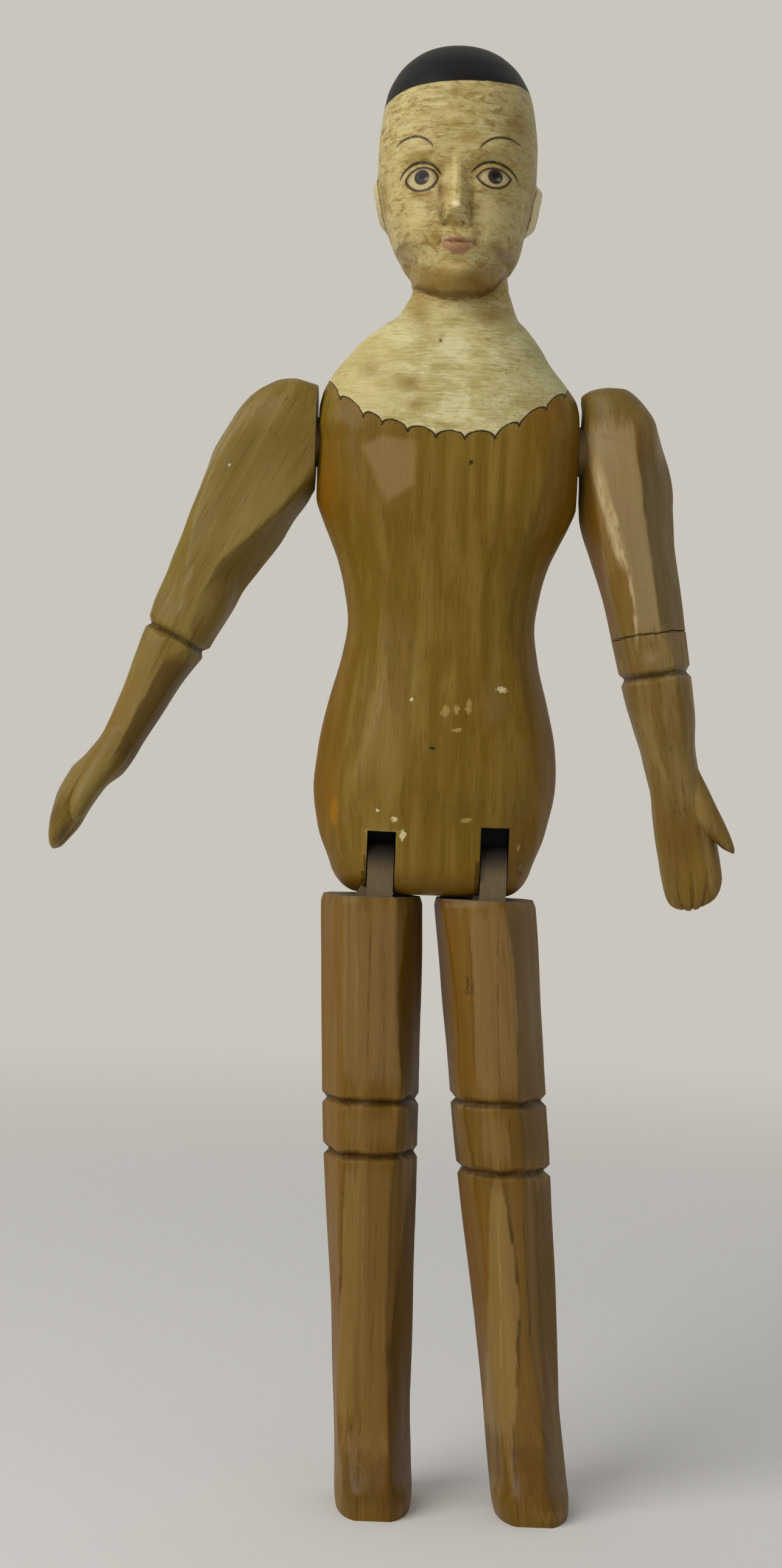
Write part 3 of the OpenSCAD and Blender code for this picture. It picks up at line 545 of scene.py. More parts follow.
def lift_jaw(points):
    """Raises the line under the jaw towards its sides, so that it hangs over the neck as a U."""
    x, y, z = points[..., 0], points[..., 1], points[..., 2]
    forward = smooth(-y, -9, 6)
    reach = np.where(z < JAW_Z, 7, 21)
    lift = 7.0 * smooth(np.abs(x - JAW_X), 1, 22) + 1.0 + 3.0 * smooth(x, 8, 20)
    lift = lift * forward * bump((z - JAW_Z) / reach)
    points[..., 2] = z + lift
    return points


BLOCK_SIDES = 256
BLOCK_GATHER = 0.58
HEM_R = 20
HEM_SQUARE = 2.6
SCALLOPS_Z = 436
NECK_BEND_Z = 476
KNIFE_LOW_Z = HIP_Z + 6
KNIFE_TOP_Z = 434
TORSO_CUT_SHARE = 0.72
CHEST_CUT_AT = (-22.5, 412)
CROWN_START = 0.83
FACE_STEP = 0.55

# Edges between the knife cuts on the front of the torso: height, then x of five edges
TORSO_EDGES = [
    [256, -38.0, -22.0, 8.0, 26.0, 40.0],
    [278, -35.0, -17.6, 7.0, 27.0, 41.0],
    [300, -29.3, -10.3, 6.0, 25.0, 39.0],
    [328, -22.0, -8.8, 9.0, 18.0, 33.0],
    [356, -24.0, -11.0, 7.0, 15.0, 27.0],
    [380, -27.0, -11.5, 3.0, 17.0, 30.0],
    [400, -31.0, -10.6, 2.0, 20.0, 36.0],
    [426, -36.0, -10.7, 4.0, 22.0, 40.0],
    [440, -36.0, -12.0, 4.0, 22.0, 40.0],
]


def cut_flat(points, middle, turn, depth, reach):
    """Takes a flat knife cut off the front of the block about a place on its surface."""
    normal = np.array([math.sin(turn), -math.cos(turn), 0])
    away = np.hypot(points[..., 0] - middle[0], points[..., 2] - middle[1])
    away = np.where(points[..., 1] < 0, away, 1e6)
    heights = points @ normal
    limit = heights.ravel()[np.argmin(away)] - depth
    over = np.maximum(0, heights - limit) * (1 - smooth(away, reach * 0.85, reach))
    points -= over[..., None] * normal


def hem_rows():
    """The rounded lower end of the torso, in the columns of TORSO_ROWS."""
    turn = np.radians(np.arange(0, 90, 7.5))
    z = HIP_Z + HIP_R * (1 - np.cos(turn))
    width = HIPS_W * (0.293 + 0.134 * np.sqrt(1 - (1 - (z - HIP_Z) / HEM_R) ** 2))
    front = HIP_Y + HIP_R * np.sin(turn)
    back = SEAT_D * (0.47 + 0.40 * np.sin(turn))
    return np.stack([z, width, front, back, np.full(len(z), HEM_SQUARE)], -1)


def torso_points(turn):
    """Rings of the torso, the shoulders and the neck, with knife cuts below the painted edge."""
    z = stations(PIN_Z, CHIN_Z, coarse=1.9, fine=1.0, places=[SCALLOPS_Z, NECK_BEND_Z], near=14)[:-1]
    rows = np.stack([z] + [curve(TORSO_ROWS, i, z) for i in (1, 2, 3, 4)], -1)
    rows = np.concatenate([hem_rows(), rows])
    z = rows[:, 0]
    section = [column(rows[:, i]) for i in (1, 2, 3, 4)]
    backs = np.linspace(-0.12, math.pi + 0.12, 10)
    edges = knife_edges(z, TORSO_EDGES, column(aside(z)), section, backs, 11, 0.07, (0.018, 0.05))
    cut = carve(turn, section, edges)
    full = oval(turn[None, :], *section)
    share = smooth(z, KNIFE_LOW_Z, KNIFE_LOW_Z + 14) * (1 - smooth(z, KNIFE_TOP_Z - 10, KNIFE_TOP_Z))
    share = column(share) * TORSO_CUT_SHARE
    radii = soften(full + (cut - full) * share, 2)
    radii += ripple(turn[None, :], column(z), size=0.14, seed=3)
    x = radii * np.cos(turn) + column(aside(z))
    y = radii * np.sin(turn)
    points = np.stack([x, y, np.broadcast_to(column(z), x.shape)], -1)
    cut_flat(points, CHEST_CUT_AT, turn=-0.16, depth=0.95, reach=22)
    return points


def head_points(turn):
    """Rings of the head, close together over the face, with its relief and the ears."""
    face_z = np.arange(CHIN_Z, head_place(CROWN_START), FACE_STEP)
    crown = CROWN_START + 0.1695 * np.sin(np.linspace(0, math.pi / 2, 26))
    z = np.concatenate([face_z[:-1], head_place(crown)])
    section = [column(curve(HEAD_ROWS, i, z)) for i in (1, 2, 3, 4)]
    radii = soften(oval(turn[None, :], *section), 1)
    radii += ripple(turn[None, :], column(z), size=0.10, seed=5)
    x = radii * np.cos(turn)
    y = radii * np.sin(turn)
    z = np.broadcast_to(column(z), x.shape)
    x = x + (np.sign(x) + 0.28) * ear_relief(y, z) + aside(z)
    y = y - np.where(y < 0, face_relief(x, z) * smooth(-y, 0, 8), 0)
    return np.stack([x, y, z], -1)


def side_prism(side, outline, start, end):
    """A cut along X on one side of the block."""
    return prism("cut", outline, *sorted((side * start, side * end)), "x")


def head_and_torso():
    turn = turns(BLOCK_SIDES, BLOCK_GATHER)
    points = lift_jaw(np.concatenate([torso_points(turn), head_points(turn)]))
    block = loft("head_and_torso_block", points)
    cuts = []
    cuts += slot_cuts(RIGHT_SLOT_X, RIGHT_SLOT_TOP, RIGHT_FLARE)
    cuts += slot_cuts(LEFT_SLOT_X, LEFT_SLOT_TOP, LEFT_FLARE)
    for side in (-1, 1):
        hip_bore = circle(-HIP_Y, PIN_Z, HIP_PIN_D / 2 + SNUG)
        cuts.append(side_prism(side, hip_bore, HIP_PIN_IN - SNUG, HIP_PIN_OUT + SNUG))
        peg_bore = circle(0, PEG_Z, PEG_D / 2 + RUNNING)
        cuts.append(side_prism(side, peg_bore, SEAT_X - PEG_IN - END_PLAY, SEAT_X + 1))
        seat = circle(0, PEG_Z, PEG_D * 1.5)
        cuts.append(side_prism(side, seat, SEAT_X, SEAT_X + OVERRUN))
        keeper_bore = circle(KEEPER_Z, side * KEEPER_X, KEEPER_D / 2 + SNUG, 48)
        cuts.append(prism("cut", keeper_bore, KEEPER_FRONT - SNUG, BACK_D + OVERRUN, "y"))
    return combine(block, cuts, "DIFFERENCE")


def slot_cuts(x, top, flare):
    """A slot and its flared mouth, which is turned about the hip pin."""
    front = -HIP_Y - HIP_R - OVERRUN
    back = -HIP_Y + TONGUE_R + END_PLAY
    slot = box("slot", (x - SLOT_W / 2, front, HIP_Z - OVERRUN), (x + SLOT_W / 2, back, top))
    reach = HIP_R + OVERRUN
    root = SLOT_W / 2 + flare * reach / HIP_R
    hub = 0.05
    profile = [(hub, 0), (hub, 2 * hub), (HIP_R * 0.35, SLOT_W / 2), (reach, root), (reach, 0)]
    sides = 96
    t = TAU * np.arange(sides) / sides
    points = np.vstack([np.stack([np.full(sides, x - half), -HIP_Y + radius * np.sin(t),
                                  PIN_Z + radius * np.cos(t)], -1) for radius, half in profile])
    count = len(profile)
    faces = []
    for i in range(count):
        k = (i + 1) % count
        for j in range(sides):
            m = (j + 1) % sides
            faces.append([i * sides + j, i * sides + m, k * sides + m, k * sides + j])
    mouth = mesh_object("mouth", points, faces)
    window = box("window", (x - SLOT_W / 2 - 2 * flare, front, HIP_Z - OVERRUN),
                 (x, back, PIN_Z + WEDGE_FRONT + END_PLAY))
    return [slot, combine(mouth, [window], "INTERSECT")]


# Legs

def leg_rows(knee_low, knee_high):
    return [
        [0, FOOT_W * 0.485, TOE_F, HEEL_Y * 0.95, SOLE_SQUARE],
        [TOE_H * 0.35, FOOT_W * 0.50, TOE_F, HEEL_Y, SOLE_SQUARE],
        [TOE_H, FOOT_W * 0.51, TOE_F * 0.98, HEEL_Y, SOLE_SQUARE],
        [TOE_H * 2.2, FOOT_W * 0.515, TOE_Y * 0.85, HEEL_Y * 0.98, 2.5],
        [TOE_H * 4.2, ANKLE_W * 0.50, TOE_Y * 0.62, HEEL_Y * 0.90, 2.6],
        [TOE_H * 6, ANKLE_W * 0.515, ANKLE_D * 0.53, ANKLE_D * 0.52, 2.7],
        [knee_low * 0.54, ANKLE_W * 0.54, ANKLE_D * 0.50, ANKLE_D * 0.53, 2.8],
        [knee_low * 0.76, KNEE_W * 0.468, KNEE_D * 0.47, KNEE_D * 0.50, 2.9],
        [knee_low, KNEE_W * 0.485, KNEE_D * 0.49, KNEE_D * 0.50, 3],
        [knee_high, KNEE_W * 0.492, KNEE_D * 0.51, KNEE_D * 0.50, 3],
        [LEG_H * 0.75, THIGH_W * 0.477, THIGH_D * 0.48, THIGH_D * 0.48, 3],
        [LEG_H * 0.88, THIGH_W * 0.492, THIGH_D * 0.50, THIGH_D * 0.50, 3],
        [LEG_H * 0.985, THIGH_W * 0.50, THIGH_D * 0.50, THIGH_D * 0.50, 3],
        [LEG_H, THIGH_W * 0.475, THIGH_D * 0.475, THIGH_D * 0.475, 3],
    ]


# Edges between the knife cuts on the front of each leg: height, then x of three edges
RIGHT_LEG_EDGES = [
    [0, -24.5, -20.8, -6.5],
    [43, -30.0, -26.5, -9.4],
    [69, -29.3, -23.3, -11.2],
    [112, -31.8, -24.9, -12.0],
    [152, -31.7, -24.1, -9.9],
    [167, -33.1, -21.1, -9.1],
    [203, -33.2, -22.1, -12.3],
    [242, -35.1, -27.6, -13.8],
]
LEFT_LEG_EDGES = [
    [0, 40.6, 44.6, 55.4],
    [45, 34.2, 39.8, 51.0],
    [71, 30.1, 38.8, 45.2],
    [115, 25.8, 32.7, 42.1],
    [151, 18.7, 33.0, 39.3],
    [171, 14.4, 28.6, 36.6],
    [205, 11.7, 25.0, 34.4],
    [243, 4.5, 22.2, 28.6],
]
LIMB_SIDES = 144
BACK_EDGES = [0.14, 0.75, 1.35, 1.9, 2.5, math.pi - 0.1]
LIMB_CUT_SHARE = 0.9

# How far the legs stand to the image's right at the foot and to the left at the thigh, and how
# much broader they are there than the construction, on each side
FOOT_SHIFT = 0.8
THIGH_SHIFT = 0.95
FOOT_SPARE = 0.7
THIGH_SPARE = 1


def groove(distance, width, depth):
    return depth * np.maximum(0, 1 - np.abs(distance) / (width / 2))


def leg_loft(name, side, lean, knees, edge_rows, seed):
    knee_low, knee_high = knees
    z = stations(0, LEG_H, coarse=1.5, fine=0.5, places=[0, knee_low, knee_high, LEG_H], near=4.2)
    z = np.append(z[:-1], [LEG_H - 0.25, LEG_H])
    turn = turns(LIMB_SIDES)
    section = [column(curve(leg_rows(*knees), i, z)) for i in (1, 2, 3, 4)]
    middle = column(side * THIGH_X + math.tan(math.radians(lean)) * (LEG_H - z))
    low = 1 - smooth(z, 8, 45)
    middle += column(FOOT_SHIFT * low - THIGH_SHIFT * smooth(z, 70, 150))
    section[0] = section[0] + column(THIGH_SPARE * smooth(z, 95, 165) + FOOT_SPARE * low)
    edges = knife_edges(z, edge_rows, middle, section, BACK_EDGES, seed)
    radii = soften(carve(turn, section, edges, LIMB_CUT_SHARE), 1)
    foot = column(smooth(z, 6, 16))
    radii = oval(turn[None, :], *section) * (1 - foot) + radii * foot
    radii += ripple(turn[None, :], column(z), 0.16, seed + 1) * foot
    for height, number in ((knee_low, 2), (knee_high, 3)):
        waver = ripple(turn[None, :], column(z) * 0, 0.55, seed + number)
        uneven = 1 + 0.25 * ripple(turn[None, :], column(z) * 0, 1, seed + number + 9)
        radii -= groove(column(z) - height - waver, RING_W * 0.95, RING_D * uneven)
    x = radii * np.cos(turn)
    y = np.maximum(radii * np.sin(turn), -TOE_Y)
    points = np.stack([x + middle, y - LEG_Y, np.broadcast_to(column(z), x.shape)], -1)
    return loft(name, points)


def tongue(x, flare):
    """The tongue that turns in the hip's slot, with a wide root on one side."""
    w = SLOT_W - 2 * SIDE_PLAY
    root = LEG_H - THIGH_W * 0.2
    t = np.linspace(0, math.pi, 49)
    outline = [(-HIP_Y + TONGUE_R * math.cos(a), PIN_Z + TONGUE_R * math.sin(a)) for a in t]
    outline = [(-HIP_Y - TONGUE_R, root), (-HIP_Y + TONGUE_R, root)] + outline
    blade = prism("tongue", outline, x - w / 2, x + w / 2, "x")
    foot_x = x - w / 2 - 0.9 * flare
    wedge = [
        (root, x), (root, foot_x), (LEG_H + HIP_GAP / 2, foot_x),
        (PIN_Z - WEDGE_TOP, x - w / 2), (PIN_Z - WEDGE_TOP, x),
    ]
    foot = prism("wedge", wedge, -HIP_Y - WEDGE_FRONT, -HIP_Y + TONGUE_R, "y")
    return combine(blade, [foot], "UNION")


def leg(name, side, lean, slot_x, flare, knees, edge_rows, seed):
    piece = leg_loft(name, side, lean, knees, edge_rows, seed)
    combine(piece, [tongue(slot_x, flare)], "UNION")
    bore = prism("bore", circle(-HIP_Y, PIN_Z, HIP_PIN_D / 2 + RUNNING), side * HIP_X - THIGH_W,
                 side * HIP_X + THIGH_W, "x")
    return combine(piece, [bore], "DIFFERENCE")


# Arms: distance along the arm, offset outward, half width, half depth, squareness

def right_s(share):
    return UPPER_ARM_L + RIGHT_LOWER_ARM_L * share


def left_s(share):
    return UPPER_ARM_L + LEFT_LOWER_ARM_L * share


RIGHT_ROWS = [
    [-ARM_W * 0.59, -ARM_W * 0.09, ARM_W * 0.11, ARM_D * 0.12, 2],
    [-ARM_W * 0.54, -ARM_W * 0.034, ARM_W * 0.23, ARM_D * 0.29, 2.1],
    [-ARM_W * 0.445, -ARM_W * 0.034, ARM_W * 0.357, ARM_D * 0.38, 2.3],
    [-ARM_W * 0.30, -ARM_W * 0.01, ARM_W * 0.43, ARM_D * 0.45, 2.4],
    [-ARM_W * 0.18, 0, ARM_W * 0.473, ARM_D * 0.48, 2.5],
    [ARM_W * 0.02, ARM_W * 0.01, ARM_W * 0.502, ARM_D * 0.51, 2.6],
    [ARM_W * 0.35, ARM_W * 0.032, ARM_W * 0.503, ARM_D * 0.51, 2.6],
    [ARM_W * 0.59, ARM_W * 0.032, ARM_W * 0.47, ARM_D * 0.50, 2.7],
    [UPPER_ARM_L * 0.42, ARM_W * 0.02, ARM_W * 0.444, ARM_D * 0.48, 2.7],
    [UPPER_ARM_L * 0.56, ARM_W * 0.02, ARM_W * 0.40, ARM_D * 0.45, 2.7],
    [UPPER_ARM_L * 0.67, ARM_W * 0.028, ELBOW_W * 0.545, ARM_D * 0.43, 2.7],
    [UPPER_ARM_L * 0.78, ELBOW_W * 0.02, ELBOW_W * 0.517, ARM_D * 0.42, 2.7],
    [UPPER_ARM_L * 0.89, ELBOW_W * 0.02, ELBOW_W * 0.493, ARM_D * 0.40, 2.7],
    [UPPER_ARM_L, 0, ELBOW_W * 0.452, ARM_D * 0.39, 2.7],
    [right_s(0.14), 0, ELBOW_W * 0.375, ARM_D * 0.37, 2.6],
    [right_s(0.32), -PALM_T * 0.05, WRIST_W * 0.445, WRIST_W * 0.56, 2.4],
    [right_s(0.48), -PALM_T * 0.05, WRIST_W * 0.39, WRIST_W * 0.50, 2.3],
    [right_s(0.59), PALM_T * 0.06, WRIST_W * 0.41, PALM_W * 0.44, 2.3],
    [right_s(0.68), PALM_T * 0.30, PALM_T * 0.62, PALM_W * 0.49, 2.4],
    [right_s(0.79), PALM_T * 0.36, PALM_T * 0.57, PALM_W * 0.50, 2.5],
    [right_s(0.87), PALM_T * 0.30, PALM_T * 0.48, PALM_W * 0.47, 2.5],
    [right_s(0.94), PALM_T * 0.26, PALM_T * 0.32, PALM_W * 0.40, 2.5],
    [right_s(0.985), PALM_T * 0.22, PALM_T * 0.17, PALM_W * 0.24, 2.3],
    [right_s(1), PALM_T * 0.22, PALM_T * 0.05, PALM_W * 0.08, 2],
]
LEFT_ROWS = [
    [-ARM_W * 0.61, -ARM_W * 0.15, ARM_W * 0.12, ARM_D * 0.16, 2],
    [-ARM_W * 0.57, -ARM_W * 0.125, ARM_W * 0.215, ARM_D * 0.29, 2.2],
    [-ARM_W * 0.42, -ARM_W * 0.07, ARM_W * 0.284, ARM_D * 0.39, 2.3],
    [-ARM_W * 0.20, -ARM_W * 0.041, ARM_W * 0.359, ARM_D * 0.46, 2.4],
    [0, -ARM_W * 0.041, ARM_W * 0.395, ARM_D * 0.50, 2.5],
    [ARM_W * 0.22, -ARM_W * 0.039, ARM_W * 0.434, ARM_D * 0.51, 2.6],
    [ARM_W * 0.42, -ARM_W * 0.052, ARM_W * 0.452, ARM_D * 0.51, 2.7],
    [ARM_W * 0.59, -ARM_W * 0.068, ARM_W * 0.447, ARM_D * 0.50, 2.7],
    [ARM_W * 0.71, -ARM_W * 0.066, ARM_W * 0.435, ARM_D * 0.49, 2.7],
    [UPPER_ARM_L * 0.44, -ARM_W * 0.057, ARM_W * 0.405, ARM_D * 0.47, 2.7],
    [UPPER_ARM_L * 0.66, -ARM_W * 0.023, ELBOW_W * 0.537, ARM_D * 0.44, 2.7],
    [UPPER_ARM_L * 0.86, -ELBOW_W * 0.02, ELBOW_W * 0.505, ARM_D * 0.41, 2.7],
    [UPPER_ARM_L, -ELBOW_W * 0.01, ELBOW_W * 0.483, ARM_D * 0.385, 2.7],
    [left_s(0.10), 0, ELBOW_W * 0.463, ARM_D * 0.365, 2.6],
    [left_s(0.20), PALM_W * 0.02, ELBOW_W * 0.43, ARM_D * 0.335, 2.5],
    [left_s(0.34), PALM_W * 0.03, WRIST_W * 0.53, WRIST_W * 0.45, 2.4],
    [left_s(0.48), PALM_W * 0.07, WRIST_W * 0.52, WRIST_W * 0.39, 2.3],
    [left_s(0.60), PALM_W * 0.11, PALM_W * 0.47, PALM_T * 0.54, 2.4],
    [left_s(0.70), PALM_W * 0.12, PALM_W * 0.485, PALM_T * 0.50, 2.5],
    [left_s(0.80), PALM_W * 0.13, PALM_W * 0.49, PALM_T * 0.43, 2.6],
    [left_s(0.88), PALM_W * 0.12, PALM_W * 0.465, PALM_T * 0.36, 2.7],
    [left_s(0.94), PALM_W * 0.10, PALM_W * 0.42, PALM_T * 0.28, 2.7],
    [left_s(0.98), PALM_W * 0.08, PALM_W * 0.35, PALM_T * 0.19, 2.5],
    [left_s(1), PALM_W * 0.07, PALM_W * 0.27, PALM_T * 0.09, 2],
]

# Thumbs: distance along the arm, offset outward, offset to the front, half width, half depth
RIGHT_THUMB = [
    [right_s(0.27), 0, 2, 4, 3],
    [right_s(0.41), -0.6, 4.5, 6, 5],
    [right_s(0.53), -0.4, 6.5, 6.8, 5.8],
    [right_s(0.64), 0.6, 9, 5.7, 5.8],
    [right_s(0.72), 0.9, 11.6, 4.6, 5.2],
    [right_s(0.78), 0.5, 12.9, 4, 4.5],
    [right_s(0.82), -0.2, 13.5, 2.9, 3.3],
    [right_s(0.845), -0.6, 13.6, 0.9, 1.2],
]
LEFT_THUMB = [
    [left_s(0.28), 4, -1, 3.5, 3],
    [left_s(0.43), 6.4, 0.8, 5.6, 4.6],
    [left_s(0.535), 8.6, 2, 6.6, 4.8],
    [left_s(0.62), 11.8, 2.8, 5.9, 4.3],
    [left_s(0.70), 15.8, 3.4, 4.2, 3.4],
    [left_s(0.765), 19, 3.5, 2.3, 2.1],
    [left_s(0.79), 20.6, 3.4, 0.5, 0.5],
]

# Edges between the knife cuts on the front of each arm: distance along the arm, then how far
# three edges stand from its middle, to the image's right
RIGHT_ARM_EDGES = [
    [-26, -15.0, -12.0, 16.0],
    [0, -19.5, -18.5, 18.5],
    [21, -19.8, -18.8, 15.4],
    [41, -18.5, -16.5, 8.6],
    [60, -15.8, -10.0, 2.6],
    [80, -13.5, -3.2, 3.6],
    [92, -11.5, -2.0, 8.0],
    [98, -11.0, -1.9, 8.6],
    [120, -8.0, 0.3, 7.2],
    [147, -6.0, 2.2, 6.4],
    [165, -6.5, 0.6, 5.0],
    [190, -5.0, -2.0, 1.0],
]
LEFT_ARM_EDGES = [
    [-27, -14.0, -11.0, 1.0],
    [-6, -15.4, -12.5, 2.0],
    [12, -15.6, -10.9, 2.6],
    [27, -15.2, -9.2, 2.2],
    [43, -14.8, -6.7, 2.3],
    [57, -14.2, -7.2, 2.8],
    [72, -12.6, -8.5, 3.1],
    [90, -10.8, -4.0, 7.0],
    [115, -9.4, -3.0, 6.0],
    [140, -7.6, -1.0, 7.0],
    [187, -7.0, 1.0, 7.0],
]


# Side of the doll, the pivot's place across, and the turn outward in degrees
RIGHT_HANG = (-1, RIGHT_PIVOT_X, RIGHT_SPLAY)
LEFT_HANG = (1, LEFT_PIVOT_X, LEFT_SPLAY)


def hang(points, side, pivot_x, splay):
    """Turns an arm's local points outward and hangs it at its pivot."""
    a = math.radians(splay) * side
    x = points[..., 0]
    z = points[..., 2]
    turned = np.empty(points.shape)
    turned[..., 0] = x * math.cos(a) - z * math.sin(a) + side * pivot_x
    turned[..., 1] = points[..., 1]
    turned[..., 2] = x * math.sin(a) + z * math.cos(a) + PEG_Z
    return turned


def seam_wave(x, side):
    """The slightly wavy course of the left arm's joint, and how it opens to the outside."""
    return 0.4 * np.sin(x * 0.42 + 0.8) + 0.15 * np.sin(x * 1.3), 0.10 * smooth(x * side, 4, 14)


def knife_start(x):
    """Where the knife cuts on the left arm begin below its shoulder, by the place across it."""
    return np.minimum(6, 0.036 * (x + 15) ** 2 - 8)


def arm_points(rows, side, start, end, edge_rows, seed, fingers=None, seam=None):
    """Rings of an arm between two places along it, the lowest first."""
    s = stations(start, end, coarse=1.1, fine=0.45, places=[start, UPPER_ARM_L, end], near=4)
    turn = turns(LIMB_SIDES)
    offset, width, depth, square = [column(curve(rows, i, s)) for i in (1, 2, 3, 4)]
    section = [width, depth, depth, square]
    edges = knife_edges(s, edge_rows, side * offset, section, BACK_EDGES, seed, wander=(0.03, 0.06))
    cut = carve(turn, section, edges, LIMB_CUT_SHARE)
    full = oval(turn[None, :], *section)
    fade = 1 - column(smooth(s, end - 22, end - 8)) * (seam != -1)
    fade = fade * (1 - 0.5 * column(smooth(s, UPPER_ARM_L - 2, UPPER_ARM_L + 8)))
    if side < 0:
        fade = fade * column(smooth(s, -ARM_W * 0.5, ARM_W * 0.3))
        inner = smooth(full * np.cos(turn) - offset, -2, 5)
        fade = fade * (1 - 0.75 * column(bump((s - 76) / 20)) * inner)
    else:
        across = full * np.cos(turn) + offset
        outer = smooth(across, 2, 7)
        knife_line = knife_start(across) * (1 - outer) - 16 * outer
        fade = fade * smooth(column(s) - knife_line, 0, 1.3 + 26 * outer)
    radii = soften(full + (cut - full) * fade, 1)
    radii += ripple(turn[None, :], column(s), 0.15, seed + 1) * fade
    waver = ripple(turn[None, :], column(s) * 0, 0.5, seed + 2)
    radii -= groove(column(s) - UPPER_ARM_L - waver, RING_W, RING_D * 0.85)
    x = radii * np.cos(turn)
    y = radii * np.sin(turn)
    if fingers is not None:
        x, y, s_points = fingers(x, y, column(s))
    else:
        s_points = np.broadcast_to(column(s), x.shape)
    if seam is not None:
        wave, opening = seam_wave(x, side)
        near = bump((s_points - SEAM_S) / 4)
        s_points = s_points + near * (wave + seam * opening)
    return np.stack([x + side * offset, y, -s_points], -1)[::-1]


def left_fingers(x, y, s):
    """Hollows the left palm and parts its end into four short fingers."""
    share = x / column(curve(LEFT_ROWS, 2, s[:, 0]))
    place = (s - left_s(0.74)) / (LEFT_LOWER_ARM_L * 0.26)
    notch = sum(bump((share - at) / 0.12) for at in (-0.52, -0.04, 0.46))
    y = y * (1 - 0.24 * notch * smooth(place, 0.35, 0.8))
    hollow = 1.7 * bump(np.hypot((x + 1) / 11, (s - left_s(0.72)) / 17)) ** 0.6
    y = np.where(y < 0, np.minimum(y + hollow, 0.3 * y), y)
    end = np.clip((place - 0.5) / 0.5, 0, 1)
    slant = 2.2 * bump((share + 0.1) / 1.25) - 1.8 * notch - 1.4
    return x, y, s + end ** 2 * slant


def right_fingers(x, y, s):
    """Rounds the end of the right hand, seen edge on, with grooves between the fingers."""
    depth_share = y / np.maximum(np.abs(y).max(1, keepdims=True), 1e-6)
    place = (s - right_s(0.80)) / (RIGHT_LOWER_ARM_L * 0.20)
    notch = sum(bump((depth_share - at) / 0.17) for at in (-0.45, 0.05, 0.55))
    x = x * (1 - 0.22 * notch * smooth(place, 0, 0.7))
    return x, y, np.broadcast_to(s, x.shape)


def thumb_points(rows, side):
    s = np.linspace(rows[0][0], rows[-1][0], 60)
    turn = turns(48)
    outward, forward, width, depth = [column(curve(rows, i, s)) for i in (1, 2, 3, 4)]
    x = side * outward + width * np.cos(turn)
    y = -forward + depth * np.sin(turn)
    return np.stack([x, y, -np.broadcast_to(column(s), x.shape)], -1)[::-1]


def arm_cuts(side):
    low, high = sorted((0, side * ARM_FLAT_X))
    flat = box("flat", (low, -ARM_D, PEG_Z - ARM_W), (high, ARM_D, PEG_Z + ARM_W))
    bore = prism("bore", circle(0, PEG_Z, PEG_D / 2 + SNUG),
                 *sorted((side * (ARM_X - 1), side * (ARM_X + PEG_OUT + SNUG))), "x")
    return [flat, bore]


def right_arm():
    points = arm_points(RIGHT_ROWS, -1, RIGHT_ROWS[0][0], RIGHT_ARM_L, RIGHT_ARM_EDGES, 31, right_fingers)
    piece = loft("right_arm_carved", hang(points, *RIGHT_HANG))
    thumb = loft("thumb", hang(thumb_points(RIGHT_THUMB, -1), *RIGHT_HANG))
    combine(piece, [thumb], "UNION")
    return combine(piece, arm_cuts(-1), "DIFFERENCE")


def elbow_hole():
    """The hole for the dowel that holds the left arm's two parts together."""
    s = np.array([SEAM_S + DOWEL_L / 2 + SNUG, SEAM_S - DOWEL_L / 2 - SNUG])
    turn = turns(64)
    radius = DOWEL_D / 2 + SNUG
    ring = np.stack([radius * np.cos(turn), radius * np.sin(turn), 0 * turn], -1)
    rings = np.stack([ring - [0, 0, place] for place in s])
    return loft("hole", hang(rings, *LEFT_HANG))


def left_upper_arm():
    points = arm_points(LEFT_ROWS, 1, LEFT_ROWS[0][0], SEAM_S - SEAM_GAP / 2, LEFT_ARM_EDGES, 41, seam=-1)
    piece = loft("left_upper_arm_carved", hang(points, *LEFT_HANG))
    return combine(piece, arm_cuts(1) + [elbow_hole()], "DIFFERENCE")


def left_forearm():
    points = arm_points(LEFT_ROWS, 1, SEAM_S + SEAM_GAP / 2, LEFT_ARM_L, LEFT_ARM_EDGES, 51,
                        left_fingers, seam=1)
    piece = loft("left_forearm_carved", hang(points, *LEFT_HANG))
    thumb = loft("thumb", hang(thumb_points(LEFT_THUMB, 1), *LEFT_HANG))
    combine(piece, [thumb], "UNION")
    return combine(piece, [elbow_hole()], "DIFFERENCE")


# Materials

def colour(red, green, blue):
    """An sRGB colour, 0 to 255, as the shader wants it."""
    parts = []
    for part in (red, green, blue):
        share = part / 255
        parts.append(share / 12.92 if share <= 0.04045 else ((share + 0.055) / 1.055) ** 2.4)
    return (*parts, 1)


class Term:
    """A value in a node tree that takes part in Python sums and products."""

    def __init__(self, tree, socket):
        self.tree = tree
        self.socket = socket

    def math(self, operation, *others):
        node = self.tree.nodes.new("ShaderNodeMath")
        node.operation = operation
        for socket, value in zip(node.inputs, (self, *others)):
            feed(self.tree, socket, value)
        return Term(self.tree, node.outputs[0])

    def __add__(self, other):
        return self.math("ADD", other)

    __radd__ = __add__

    def __sub__(self, other):
        return self.math("SUBTRACT", other)

    def __rsub__(self, other):
        return self.math("MULTIPLY_ADD", -1.0, other)

    def __mul__(self, other):
        return self.math("MULTIPLY", other)

    __rmul__ = __mul__

    def __truediv__(self, other):
        return self.math("DIVIDE", other)

    def __pow__(self, other):
        return self.math("POWER", other)

    def __abs__(self):
        return self.math("ABSOLUTE")

    def at_least(self, other):
        return self.math("MAXIMUM", other)

    def at_most(self, other):
        return self.math("MINIMUM", other)


def feed(tree, socket, value):
    if isinstance(value, Term):
        tree.links.new(value.socket, socket)
    else:
        socket.default_value = value


